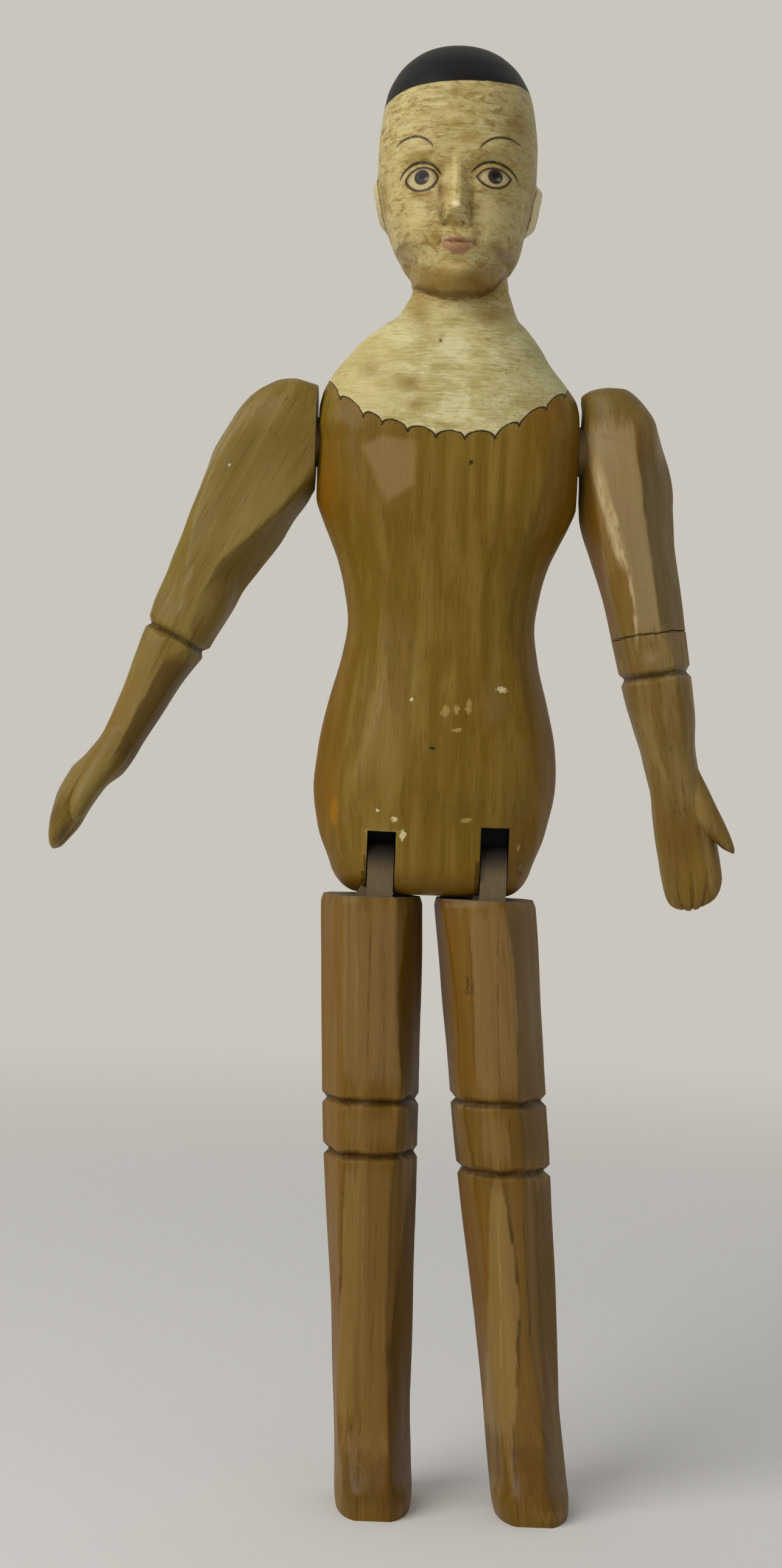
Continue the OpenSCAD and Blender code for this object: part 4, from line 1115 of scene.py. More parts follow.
def circle_through(a, b, c):
    """Middle and radius of the circle through three points."""
    matrix = np.array([[b[0] - a[0], b[1] - a[1]], [c[0] - a[0], c[1] - a[1]]], float)
    squares = [point[0] ** 2 + point[1] ** 2 for point in (a, b, c)]
    middle = np.linalg.solve(2 * matrix, [squares[1] - squares[0], squares[2] - squares[0]])
    return float(middle[0]), float(middle[1]), float(math.hypot(a[0] - middle[0], a[1] - middle[1]))


def line_along(s, course):
    """A line along a limb, as its place across for a place s, and how far s is along it."""
    place, lean, bow, middle = course
    away = s - middle
    return away.math("MULTIPLY_ADD", bow, lean).math("MULTIPLY_ADD", away, place), away


class Paint:
    """A material whose colour, roughness and bump are built up in layers, in millimetres."""

    def __init__(self, name):
        self.material = bpy.data.materials.new(name)
        self.material.use_nodes = True
        self.tree = self.material.node_tree
        self.tree.nodes.clear()
        packed_place = self.node("ShaderNodeTexCoord", output="Object")
        self.place = self.stretch(packed_place, (1 / MM,) * 3, (-MIDDLE_X, -MIDDLE_Y, 0))
        self.x, self.y, self.z = self.parts(self.place)

    def node(self, kind, settings=None, inputs=None, output=0):
        """Makes any node, with its settings and socket values, and returns one of its outputs."""
        node = self.tree.nodes.new(kind)
        for key, value in (settings or {}).items():
            setattr(node, key, value)
        for key, value in (inputs or {}).items():
            feed(self.tree, node.inputs[key], value)
        return Term(self.tree, node.outputs[output]) if len(node.outputs) else None

    def parts(self, vector):
        first = self.node("ShaderNodeSeparateXYZ", inputs={0: vector})
        return [Term(self.tree, socket) for socket in first.socket.node.outputs]

    def vector(self, x, y, z):
        return self.node("ShaderNodeCombineXYZ", inputs={0: x, 1: y, 2: z})

    def stretch(self, vector, factors, shift=(0, 0, 0)):
        settings = {"operation": "MULTIPLY_ADD"}
        return self.node("ShaderNodeVectorMath", settings, {0: vector, 1: factors, 2: shift})

    def length(self, vector):
        return self.node("ShaderNodeVectorMath", {"operation": "LENGTH"}, {0: vector}, output="Value")

    def noise(self, sizes, detail=3.0, roughness=0.55, distortion=0.0, shift=0.0):
        """Noise between 0 and 1 about this paint's place, with the given sizes in millimetres."""
        factors = [1 / size if size else 0 for size in sizes]
        vector = self.stretch(self.place, factors, (shift, shift, shift))
        return self.node("ShaderNodeTexNoise", inputs={
            "Vector": vector, "Scale": 1.0, "Detail": detail, "Roughness": roughness,
            "Distortion": distortion}, output="Fac")

    def ramp(self, value, start, end, first=0.0, last=1.0):
        """A soft change from first, at start, to last, at end."""
        if start > end:
            start, end, first, last = end, start, last, first
        return self.node("ShaderNodeMapRange", {"interpolation_type": "SMOOTHSTEP"}, {
            "Value": value, "From Min": start, "From Max": end, "To Min": first, "To Max": last})

    def mix(self, factor, a, b):
        return self.node("ShaderNodeMix", {"data_type": "RGBA"}, {0: factor, 6: a, 7: b}, output=2)

    def near(self, place, middle, width, height, strength=1.0):
        """The given strength at a spot seen from the front, falling to 0 at the edge of an ellipse."""
        factors = (1 / width, 0, 1 / height)
        shift = (-middle[0] / width, 0, -middle[1] / height)
        scaled = self.stretch(place, factors, shift)
        return self.ramp(self.length(scaled), 0.0, 1.0, strength, 0.0)

    def from_point(self, flat, middle):
        """Distance from a point, seen from the front. The place's Y is 0."""
        return self.node("ShaderNodeVectorMath", {"operation": "DISTANCE"},
                         {0: flat, 1: (middle[0], 0, middle[1])}, output="Value")

    def from_circle(self, flat, points):
        """How far a place lies outside the circle through three points."""
        cx, cz, radius = circle_through(*points)
        return self.from_point(flat, (cx, cz)) - radius

    def arc(self, flat, points, width, soft):
        """A painted stroke along the arc through three points, thickest in the middle."""
        _, cz, _ = circle_through(*points)
        off = abs(self.from_circle(flat, points))
        low = min(points[0][0], points[2][0])
        high = max(points[0][0], points[2][0])
        x, _, z = self.parts(flat)
        share = x.math("MULTIPLY_ADD", 2 / (high - low), -(high + low) / (high - low))
        taper = (1.0 - share * share).at_least(0.0) ** 0.35
        above = self.ramp(z, cz - 0.3, cz + 0.3)
        return self.ramp(off - taper * width, soft, -soft) * above * self.ramp(taper, 0.0, 0.3)

    def streak(self, u, s, course, half, width, breaks):
        """A broken line along a limb, of the given half length and half width."""
        line, away = line_along(s, course)
        ends = self.ramp(abs(away), half, half * 0.5)
        return self.ramp(abs(u - line), width, width * 0.2) * ends * breaks

    def band(self, u, s, left, right, ends):
        """1 between two lines along a limb and between its two ends."""
        inside = (u - line_along(s, left)[0]).at_most(line_along(s, right)[0] - u)
        low, high = ends
        reach = (s - low).at_most(high - s)
        return self.ramp(inside, -0.7, 0.7) * self.ramp(reach, -1.0, 8.0)

    def blend(self, base, layers):
        """Lays tones over a base, each with its factor."""
        for factor, tone in layers:
            base = self.mix(factor, base, tone)
        return base

    def spots(self, base, place, rows, tone):
        """Lays one tone over a base in soft spots: middle, half width, half height, strength."""
        return self.blend(base, [(self.near(place, *row), tone) for row in rows])

    def finish(self, base, roughness, height, bump_depth):
        """Closes the material with its colour, roughness and the height of its bump."""
        normal = self.node("ShaderNodeBump", inputs={"Strength": 1.0, "Distance": bump_depth * MM,
                                                     "Height": height})
        shader = self.node("ShaderNodeBsdfPrincipled", inputs={
            "Base Color": base, "Roughness": roughness, "Normal": normal,
            "Specular IOR Level": SPECULAR})
        self.node("ShaderNodeOutputMaterial", inputs={"Surface": shader})
        return self.material


SPECULAR = 0.2
BODY_BUMP = 0.16
LIMB_BUMP = 0.17
BARE_BUMP = 0.12
LINE_DARK = colour(36, 24, 16)


def brown_coat(paint, tones, grain=0.42):
    """Thin brown paint that lets the grain through, streaked along the piece's own length."""
    dark, middle, light, orange = tones
    fine = paint.noise((1.0, 1.0, 42), 4.0, 0.62)
    broad = paint.noise((5.5, 5.5, 110), 3.0, 0.5, 0.3)
    cloud = paint.noise((24, 24, 44), 3.0, 0.5, 0.4)
    speck = paint.noise((0.8, 0.8, 2.4), 2.0, 0.6)
    base = paint.blend(middle, [
        (paint.ramp(broad, 0.40, 0.66, 0.0, 0.75), light),
        (paint.ramp(cloud, 0.48, 0.70, 0.0, 0.60), orange),
        (paint.ramp(fine, 0.52, 0.72, 0.0, grain), dark),
        (paint.ramp(fine, 0.44, 0.26, 0.0, 0.26), light),
        (paint.ramp(speck, 0.62, 0.80, 0.0, 0.25), dark),
    ])
    height = fine * 0.5 + broad * 0.9 + speck * 0.15
    rough = cloud * 0.24 + fine * 0.14 + 0.25
    return base, rough, height


CREAM_LIGHT = colour(214, 203, 150)
CREAM_MIDDLE = colour(184, 168, 106)
CREAM_OCHRE = colour(134, 102, 30)
CREAM_GREY = colour(140, 134, 84)


def cream_coat(paint):
    """Old cream paint, brushed on across the front, with ochre grime, and painted shade greying it towards
    the image's right.
    """
    brush = paint.noise((9, 9, 0.8), 5.0, 0.62, 0.8)
    cloud = paint.noise((15, 15, 12), 4.0, 0.62, 0.8)
    blotch = paint.noise((7.5, 7.5, 3.4), 6.0, 0.70, 0.8, shift=7.0)
    mottle = paint.noise((3.6, 3.6, 1.3), 4.0, 0.65, 0.6, shift=3.0)
    speck = paint.noise((1.3, 1.3, 0.9), 3.0, 0.6)
    flecks = paint.noise((1.7, 1.7, 1.5), 4.0, 0.7, 1.2, shift=12.0)
    on_body = 1.0 - paint.ramp(paint.z, 462, 480)
    on_head = paint.ramp(paint.z, 466, 492)
    on_left = paint.ramp(paint.x, 0, 22, 0.05, 0.6)
    brushed = 1.0 - on_head * paint.ramp(paint.z, 546, 534, 0.35, 0.8)
    base = paint.blend(CREAM_LIGHT, [
        (paint.ramp(cloud, 0.36, 0.62), CREAM_MIDDLE),
        (on_head * 0.55, colour(170, 144, 78)),
        (paint.ramp(brush, 0.50, 0.40, 0.0, 0.5) * brushed, colour(218, 210, 166)),
        (paint.ramp(brush, 0.53, 0.66, 0.0, 0.5) * brushed, CREAM_GREY),
        (paint.ramp(blotch, 0.49, 0.64) * (on_head * 0.55 + 0.20), CREAM_OCHRE),
        (paint.ramp(blotch, 0.44, 0.34) * on_head * 0.5, colour(206, 188, 128)),
        (paint.ramp(mottle, 0.54, 0.68) * on_head * 0.5, colour(110, 82, 28)),
        (paint.ramp(mottle, 0.46, 0.34) * on_head * 0.4, colour(208, 190, 134)),
        (paint.ramp(paint.x, -4, -34, 0.0, 0.5) * on_body, colour(184, 164, 96)),
        # Painted shade: the cream turns greyer towards the image's right, away from the light
        (paint.ramp(paint.x, 2, 38, 0.0, 0.5), CREAM_GREY),
        # Dark greenish flecks, more towards the image's right, and pale flecks
        (paint.ramp(flecks, 0.56, 0.68) * on_left * on_body, colour(92, 86, 50)),
        (paint.ramp(flecks, 0.42, 0.32) * on_body * 0.35, colour(220, 212, 166)),
        (paint.ramp(speck, 0.62, 0.78, 0.0, 0.4), CREAM_OCHRE),
    ])
    height = brush * brushed * 1.4 + blotch * 1.0 + mottle * 0.5 + speck * 0.35
    rough = brush * 0.2 + 0.36
    return base, rough, height


# Places of the painted features, as x from the doll's middle and height from the soles
SCALLOP_CUSPS = [
    (-51.5, 450.0), (-43.6, 440.2), (-34.1, 432.6), (-26.5, 429.6), (-16.3, 427.1), (-5.1, 425.0),
    (6.4, 424.9), (18.4, 425.6), (27.8, 431.0), (38.3, 438.5), (46.2, 445.0), (53.5, 453.0),
]
SCALLOP_RISE = 3.3
CHIP_WHITE = colour(204, 188, 138)
CHIP_TAN = colour(156, 130, 66)
CHIP_OCHRE = colour(146, 98, 6)
CHIP_DARK = colour(48, 32, 10)
# Chips: middle, half width, half height, tone
CHIPS = [
    ((24.5, 327.4), 2.2, 1.1, CHIP_WHITE), ((2.4, 317.9), 1.5, 2.3, CHIP_TAN),
    ((6.8, 318.8), 1.1, 1.9, CHIP_TAN), ((11.8, 320.3), 1.1, 3.0, CHIP_TAN),
    ((7.4, 310.7), 1.7, 0.8, CHIP_TAN), ((-11.1, 321.8), 0.7, 0.7, CHIP_WHITE),
    ((-16.1, 274.4), 1.3, 0.9, CHIP_WHITE), ((-12.4, 268.5), 1.0, 2.0, CHIP_WHITE),
    ((-22.7, 277.8), 0.7, 0.8, CHIP_WHITE), ((12.5, 275.2), 2.0, 0.8, CHIP_TAN),
    ((33.8, 265.0), 0.8, 1.2, CHIP_TAN), ((-40.0, 276.6), 1.7, 5.5, CHIP_OCHRE),
    ((-2.1, 303.2), 1.3, 0.8, CHIP_DARK), ((8.6, 416.0), 0.6, 1.0, CHIP_DARK),
]
CHEST_FACET = [(-35.1, 422.7), (-25.5, 428.2), (-10.9, 425.8), (-10.5, 407.4), (-23.6, 398.5)]


def scallops(paint, x, z):
    """How far a place lies above the scalloped edge of the cream paint, about in millimetres."""
    index = 0.0
    base = SCALLOP_CUSPS[0][1]
    for left, right in zip(SCALLOP_CUSPS, SCALLOP_CUSPS[1:]):
        places = {"Value": x, "From Min": left[0], "From Max": right[0], "To Min": 0.0}
        index = paint.node("ShaderNodeMapRange", inputs={**places, "To Max": 1.0}) + index
        base = paint.node("ShaderNodeMapRange", inputs={**places, "To Max": right[1] - left[1]}) + base
    across = index.math("FRACT").math("MULTIPLY_ADD", 2.0, -1.0)
    up = (z - base) / SCALLOP_RISE
    over = up.at_least(0.0)
    reach = (across * across + over * over) ** 0.5
    return (reach - 1.0 + up.at_most(0.0)) * SCALLOP_RISE


def inside_outline(x, z, outline):
    """Above 0 inside an outline whose corners run clockwise as seen from the front."""
    depth = 100.0
    for a, b in zip(outline, outline[1:] + outline[:1]):
        length = math.hypot(b[0] - a[0], b[1] - a[1])
        nx = (b[1] - a[1]) / length
        nz = -(b[0] - a[0]) / length
        edge = x * nx + (z * nz - (a[0] * nx + a[1] * nz))
        depth = edge.at_most(depth)
    return depth


# Spots on the cream coat: middle, half width, half height, strength. The first two lists are partly grime,
# on the chest and in the face's hollows, and partly painted shade under the nose, chin and jaw, beside the
# nose and the ears, and in the mouth's corners; the last two are painted highlights on the raised parts of
# the face.
GRIME_AND_SHADE = [
    ((-6.8, 519), 3.4, 10, 0.75), ((4.6, 518), 2.8, 10, 0.5), ((-8.6, 529.5), 5.0, 5, 0.75),
    ((7.0, 531.5), 4.5, 5, 0.6), ((-1.5, 507.4), 6.5, 2.4, 0.55), ((-8.0, 503), 3.0, 7, 0.75),
    ((6.8, 504), 2.8, 7, 0.55), ((1, 493.6), 10, 2.8, 0.55), ((-13, 487.5), 14, 8, 0.6),
    ((12, 488), 14, 7, 0.8), ((4, 486), 14, 5, 0.45), ((-15, 535.5), 10, 3.6, 0.45),
    ((15, 536.5), 10, 3.6, 0.25), ((-22, 502), 11, 2.2, 0.45), ((16.5, 500.5), 7, 4.5, 0.6),
    ((22, 549), 10, 12, 0.5), ((-3, 560.5), 4, 4.5, 0.65), ((3, 542), 7, 5, 0.5),
    ((-16, 519.5), 9, 2.2, 0.45), ((-11.5, 517.5), 4, 6, 0.45), ((-4, 547), 10, 1.8, 0.5),
    ((-12, 557), 11, 1.4, 0.5), ((10, 553), 12, 1.5, 0.4), ((-30, 520), 3.5, 18, 0.55),
    ((31, 522), 4, 18, 0.6), ((-14, 477), 8, 12, 0.6), ((15, 477), 11, 6, 0.6), ((-17, 447), 9, 6, 0.75),
    ((-14, 439), 8, 3.6, 0.6), ((-33, 453), 8, 6, 0.45), ((9, 447), 5, 3.6, 0.35),
    ((30, 441), 9, 4, 0.3),
    ((-24, 432.5), 9, 2.4, 0.4), ((0, 430.5), 11, 1.6, 0.35),
]
DEEP_GRIME_AND_SHADE = [
    ((-6.8, 512), 1.9, 6.5, 0.75), ((-5.4, 508.2), 1.7, 1.5, 0.9), ((1.8, 508.4), 1.6, 1.5, 0.9),
    ((4.8, 512.5), 1.6, 6.5, 0.6), ((-6.6, 501.8), 1.4, 2.8, 0.7), ((-7.8, 521.5), 1.9, 4.5, 0.7),
    ((5.0, 520), 1.5, 5, 0.4), ((10, 487.6), 8, 2.6, 0.5), ((17.5, 500), 2.6, 2.2, 0.5),
    ((-29, 510), 1.6, 1.6, 0.7), ((6.3, 501.2), 1.5, 2.2, 0.75), ((-5.0, 465.5), 1.4, 1.6, 0.9),
    ((-21.5, 503), 5, 1.2, 0.5),
]
FACE_HIGHLIGHTS = [
    ((-17, 509.8), 7, 6, 0.65), ((-1.4, 516), 3.4, 3.4, 0.65), ((14, 512), 8, 7, 0.65),
    ((0.5, 491), 9, 3.6, 0.65), ((-15, 537.5), 7, 2.4, 0.65), ((-4, 551), 9, 4, 0.65),
    ((-2.4, 527), 1.6, 12, 0.65), ((-17.6, 511), 3, 3, 0.65), ((12, 518), 5, 3, 0.65),
]
NOSE_LIGHT = [((-1.3, 514.6), 2.5, 2.3, 1.0)]

# Each painted eye: corners, top and bottom of the ball, iris, pupil, crease above the lid
EYE_PAINT = [
    ([(-21.3, 526.3), (-8.4, 526.9)], (-15.4, 530.5), (-16.0, 521.4), (-14.9, 526.7), (-14.4, 527.6),
     [(-23.6, 526.8), (-15.9, 532.5), (-7.4, 527.8)]),
    ([(6.5, 527.6), (20.4, 528.3)], (13.4, 531.2), (13.6, 523.4), (13.9, 528.0), (13.9, 528.7),
     [(4.4, 529.0), (13.8, 533.5), (23.4, 527.9)]),
]
BROWS = [
    [(-25.5, 540.0), (-19.4, 542.6), (-10.8, 538.0)],
    [(7.0, 537.7), (16.4, 543.4), (23.8, 542.0)],
]


def eye(paint, base, flat, corners, top, bottom, iris, pupil, crease):
    """One painted eye: the white, the iris with its pupil and glint, the lids' lines, and painted shade
    under the upper lid.
    """
    _, _, z = paint.parts(flat)
    upper = paint.from_circle(flat, (corners[0], top, corners[1]))
    lower = paint.from_circle(flat, (corners[0], bottom, corners[1]))
    outside = upper.at_least(lower)
    from_iris = paint.from_point(flat, iris)
    from_pupil = paint.from_point(flat, pupil)
    fibres = paint.noise((0.5, 0.5, 0.5), 2.0)
    inner = paint.mix(fibres, colour(34, 30, 27), colour(78, 68, 56))
    white = paint.mix(paint.ramp(from_iris, 2.6, 3.3), colour(44, 32, 24), colour(188, 171, 122))
    glint = (pupil[0] + 1.5, pupil[1] - 1.7)
    ball = paint.blend(white, [
        (paint.ramp(from_iris, 4.2, 6.5, 0.0, 0.6), colour(140, 110, 62)),
        (paint.ramp(from_iris, 2.5, 2.0), inner),
        (paint.ramp(from_pupil, 1.9, 1.5), colour(14, 11, 10)),
        (paint.near(flat, glint, 1.5, 1.1, 0.55), colour(170, 160, 138)),
        # Painted shade just under the upper lid
        (paint.ramp(upper, -2.4, -0.2, 0.0, 0.5), colour(70, 44, 24)),
    ])
    worn = paint.noise((1.2, 1.2, 1.2), 3.0, 0.6)
    width = paint.ramp(z, bottom[1] + 1.5, top[1] - 1.0, 0.48, 0.36) + worn * 0.3 - 0.15
    line = paint.mix(worn, LINE_DARK, colour(78, 48, 26))
    broken = paint.ramp(worn, 0.3, 0.5, 0.6, 0.95)
    return paint.blend(base, [
        (paint.ramp(outside, 0.15, -0.15), ball),
        (paint.ramp(abs(outside + 0.1) - width, 0.20, -0.14, 0.0, 0.92), line),
        (paint.arc(flat, crease, 0.66, 0.25) * broken, LINE_DARK),
    ])


def jaw_crease_shade(paint, base, x, z, wobble):
    """Painted shade along the crease under the jaw and on the jaw's underside above it."""
    beyond = (x - 12.0).at_least(0.0)
    from_middle = x - JAW_X
    course = from_middle ** 2.0 * 0.020 + beyond * beyond * 0.05 + JAW_CREASE_Z
    crease = z - course + wobble * 2.0 - 1.0
    under_chin = paint.ramp(abs(from_middle), 25.0, 17.0, 0.15, 1.0)
    return paint.blend(base, [
        (paint.ramp(abs(crease - 4.0), 6.0, 2.0, 0.0, 0.6) * under_chin, CREAM_OCHRE),
        (paint.ramp(abs(crease), 1.7, 0.3, 0.0, 0.7) * under_chin, colour(84, 56, 20)),
    ])


def ears(paint, base, x, wobble):
    """The rubbed rim of each ear, and painted shade round it and inside it."""
    shift = (0, -EAR_Y / EAR_L, -EAR_Z / EAR_H)
    scaled = paint.stretch(paint.place, (0, 1 / EAR_L, 1 / EAR_H), shift)
    ear = paint.length(scaled) + wobble * 0.2 - 0.1
    at_side = paint.ramp(abs(x), 20, 24)
    rim = paint.ramp(abs(ear - 0.80), 0.20, 0.08) * paint.ramp(x, -20, 20, 0.35, 0.95)
    return paint.blend(base, [
        (rim * at_side, colour(220, 208, 164)),
        (paint.ramp(abs(ear - 1.02), 0.17, 0.05) * at_side * 0.8, colour(84, 58, 22)),
        (paint.ramp(ear, 0.60, 0.40) * at_side * 0.6, colour(100, 72, 30)),
    ])


def lips(paint, base, flat, x, z, worn):
    """The worn red of the lips and the line between them."""
    u = (x - 0.1) / 6.2
    dome = (1.0 - u * u).at_least(0.0)
    line = (x * 1.45 + 0.6).math("SINE") * 0.45 + 501.1
    upper = z - line - dome * 2.6 + paint.near(flat, (-0.9, 504), 1.5, 40, 0.5)
    lower = line - dome ** 0.6 * 4.4 - z
    outside = upper.at_least(lower) + worn * 2.2 - 1.1
    tone = paint.mix(worn, colour(128, 82, 52), colour(176, 130, 98))
    mouth = abs(z - line) - dome ** 0.4 * 0.3
    return paint.blend(base, [
        (paint.ramp(outside, 0.8, -0.7) * paint.ramp(dome, 0.0, 0.1, 0.0, 0.8), tone),
        (paint.ramp(mouth, 0.35, -0.2) * paint.ramp(worn, 0.42, 0.6, 0.15, 0.7), colour(92, 52, 30)),
    ])


def face_coat(paint, base):
    """The painted face on the cream coat, with grime and painted shade where the carving is deep, and
    painted highlights on its raised parts.
    """
    wobble = paint.noise((3.2, 3.2, 3.2), 2.0)
    moved = paint.vector(paint.x + wobble * 3.0 - 1.5, 0.0, paint.z + wobble * 2.2 - 1.1)
    flat = paint.stretch(paint.place, (1, 0, 1))
    # Grime, and painted shade in the face's hollows and under the nose, chin and jaw
    base = paint.spots(base, moved, GRIME_AND_SHADE, CREAM_OCHRE)
    base = paint.spots(base, moved, DEEP_GRIME_AND_SHADE, colour(84, 54, 20))
    # Painted highlights on the raised parts of the face and on the nose tip
    base = paint.spots(base, flat, FACE_HIGHLIGHTS, colour(204, 183, 128))
    base = paint.spots(base, flat, NOSE_LIGHT, colour(232, 216, 174))
    x, _, z = paint.parts(flat)
    worn = paint.noise((1.8, 1.8, 1.2), 3.0, 0.6)
    base = jaw_crease_shade(paint, base, x, z, wobble)
    base = ears(paint, base, x, wobble)
    base = lips(paint, base, flat, x, z, worn)
    for places in EYE_PAINT:
        base = eye(paint, base, flat, *places)
    broken = paint.ramp(worn, 0.3, 0.5, 0.6, 0.95)
    return paint.blend(base, [(paint.arc(flat, brow, 0.58, 0.30) * broken, colour(54, 38, 20))
                              for brow in BROWS])


def slot_shade(paint, brown, wobble, on_front):
    """The rubbed rim of the right slot, and painted shade inside both slots.

    The dark has no limit towards the back, so it also marks the outside of the hips there.
    """
    x, y, z = paint.x, paint.y, paint.z
    slot_top = paint.ramp(x, -1.0, 1.0, RIGHT_SLOT_TOP, LEFT_SLOT_TOP)
    beside = abs(x - RIGHT_SLOT_X) - SLOT_W / 2
    rim = abs(beside).at_most(abs(z - RIGHT_SLOT_TOP)) + wobble * 1.6
    rim = paint.ramp(rim, 1.7, 0.9) * paint.ramp(z, RIGHT_SLOT_TOP + 1.5, RIGHT_SLOT_TOP)
    rim = rim * paint.ramp(beside, 2.0, 1.0)
    rim = rim * paint.ramp(z, PIN_Z + 4, PIN_Z + 12) * on_front
    from_slot = abs(x - RIGHT_SLOT_X).at_most(abs(x - LEFT_SLOT_X))
    # Painted shade inside both slots
    in_slot = paint.ramp(from_slot, SLOT_W / 2 + 0.25, SLOT_W / 2 + 0.05)
    in_slot = in_slot * paint.ramp(z - slot_top, 0.3, 0.1) * paint.ramp(y + z * 0.12, 2.3, 7.3)
    return paint.blend(brown, [(rim * 0.7, CHIP_TAN), (in_slot, colour(24, 16, 8))])


def body_coat(paint):
    """The brown of the torso, rubbed and chipped on its front, with painted highlights on its chest facet
    and hips.
    """
    x, y, z = paint.x, paint.y, paint.z
    brown, rough, height = brown_coat(paint, BODY_TONES)
    wobble = paint.noise((3.0, 3.0, 3.0), 3.0)
    fray = paint.noise((0.55, 0.55, 0.8), 2.0, 0.6)
    ragged = paint.ramp(fray, 0.35, 0.65, -0.30, 0.12)
    moved = paint.vector(x + wobble * 2.6 - 1.3, 0.0, z + wobble * 2.6 - 1.3)
    on_front = paint.ramp(y, 2.0, -2.0)
    facet = inside_outline(x + wobble * 2, z + wobble * 2, CHEST_FACET)
    facet = paint.ramp(facet, -0.4, 3.0) * on_front
    hip_lit = paint.near(moved, (-19, 304), 12, 36, 0.5) * on_front
    at_sides = paint.ramp(abs(x) - abs(z - 350) * 0.105, 24, 46, 0.0, 0.6) * paint.ramp(z, 440, 420)
    # Painted highlights on the chest facet and on the hips at the image's left and right; the hem and the
    # sides turn more orange, and the orange spots are wear
    brown = paint.blend(brown, [
        (paint.ramp(z, 262, 246, 0.0, 0.55), BODY_TONES[3]),
        (at_sides, BODY_TONES[3]),
        (facet * 0.6, colour(146, 119, 70)),
        (hip_lit, colour(142, 110, 52)),
        (paint.near(moved, (-48, 404), 7, 26, 0.6) * on_front, colour(128, 80, 4)),
        (paint.near(moved, (-42, 285), 5, 22, 0.4) * on_front, colour(132, 86, 6)),
        (paint.near(moved, (21, 322), 9, 16, 0.4) * on_front, colour(138, 112, 62)),
    ])
    for middle, half_width, half_height, tone in CHIPS:
        spot = paint.near(moved, middle, half_width * 1.7, half_height * 1.7) + ragged
        brown = paint.mix(paint.ramp(spot, 0.18, 0.42) * on_front, brown, tone)
    return slot_shade(paint, brown, wobble, on_front), rough, height


def hair_mask(paint, edge):
    """1 on the crown above the hair line, which falls towards the back."""
    x, y, z = paint.x, paint.y, paint.z
    hair_line = HAIR_Z + x * 0.07 - paint.ramp(y, -30, -12, 0.0, 2.0) - paint.ramp(y, -9, 6, 0.0, 32.0)
    hair_line = hair_line - paint.ramp(y, 8, 16, 0.0, 34.0) + paint.ramp(x, 14, 28, -0.6, 2.0)
    return paint.ramp(z - hair_line + edge * 0.6, 0.1, 0.5)


def block_paint():
    """Brown below and cream above a scalloped edge with a dark line, and black hair."""
    paint = Paint("block_paint")
    x, y, z = paint.x, paint.y, paint.z
    brown, brown_rough, brown_height = body_coat(paint)
    cream, cream_rough, cream_height = cream_coat(paint)
    cream = face_coat(paint, cream)
    edge = paint.noise((2.6, 2.6, 2.6), 2.0)
    above = scallops(paint, x + edge * 0.8, z + edge * 0.6 - 0.7)
    back = paint.ramp(z, 470, 486, -2.4, 5.0) + paint.ramp(z, 500, 516, 0.0, 7.0)
    front = back - y + edge * 2.0 - 1.0
    cream_mask = paint.ramp(above.at_most(front), -0.12, 0.12)
    base = paint.mix(cream_mask, brown, cream)
    thick = paint.noise((2.4, 0, 5.0), 2.0, shift=3.0) * 0.42 + 0.06
    line = paint.ramp(abs(above) - thick, 0.20, -0.16) * paint.ramp(front, 0.0, 1.5)
    base = paint.mix(line * 0.93, base, LINE_DARK)

    hair = hair_mask(paint, edge)
    strands = paint.noise((1.2, 1.2, 9), 4.0, 0.6)
    base = paint.mix(hair, base, paint.mix(strands, colour(6, 5, 5), colour(18, 14, 12)))

    rough = brown_rough + cream_mask * (cream_rough - brown_rough)
    rough = rough + hair * (strands * 0.2 + 0.40 - rough)
    height = brown_height + cream_mask * (cream_height - brown_height + 1.6)
    height = height + hair * (strands * 0.5 + 1.4 - height) + line * 0.4
    return paint.finish(base, rough, height, BODY_BUMP)


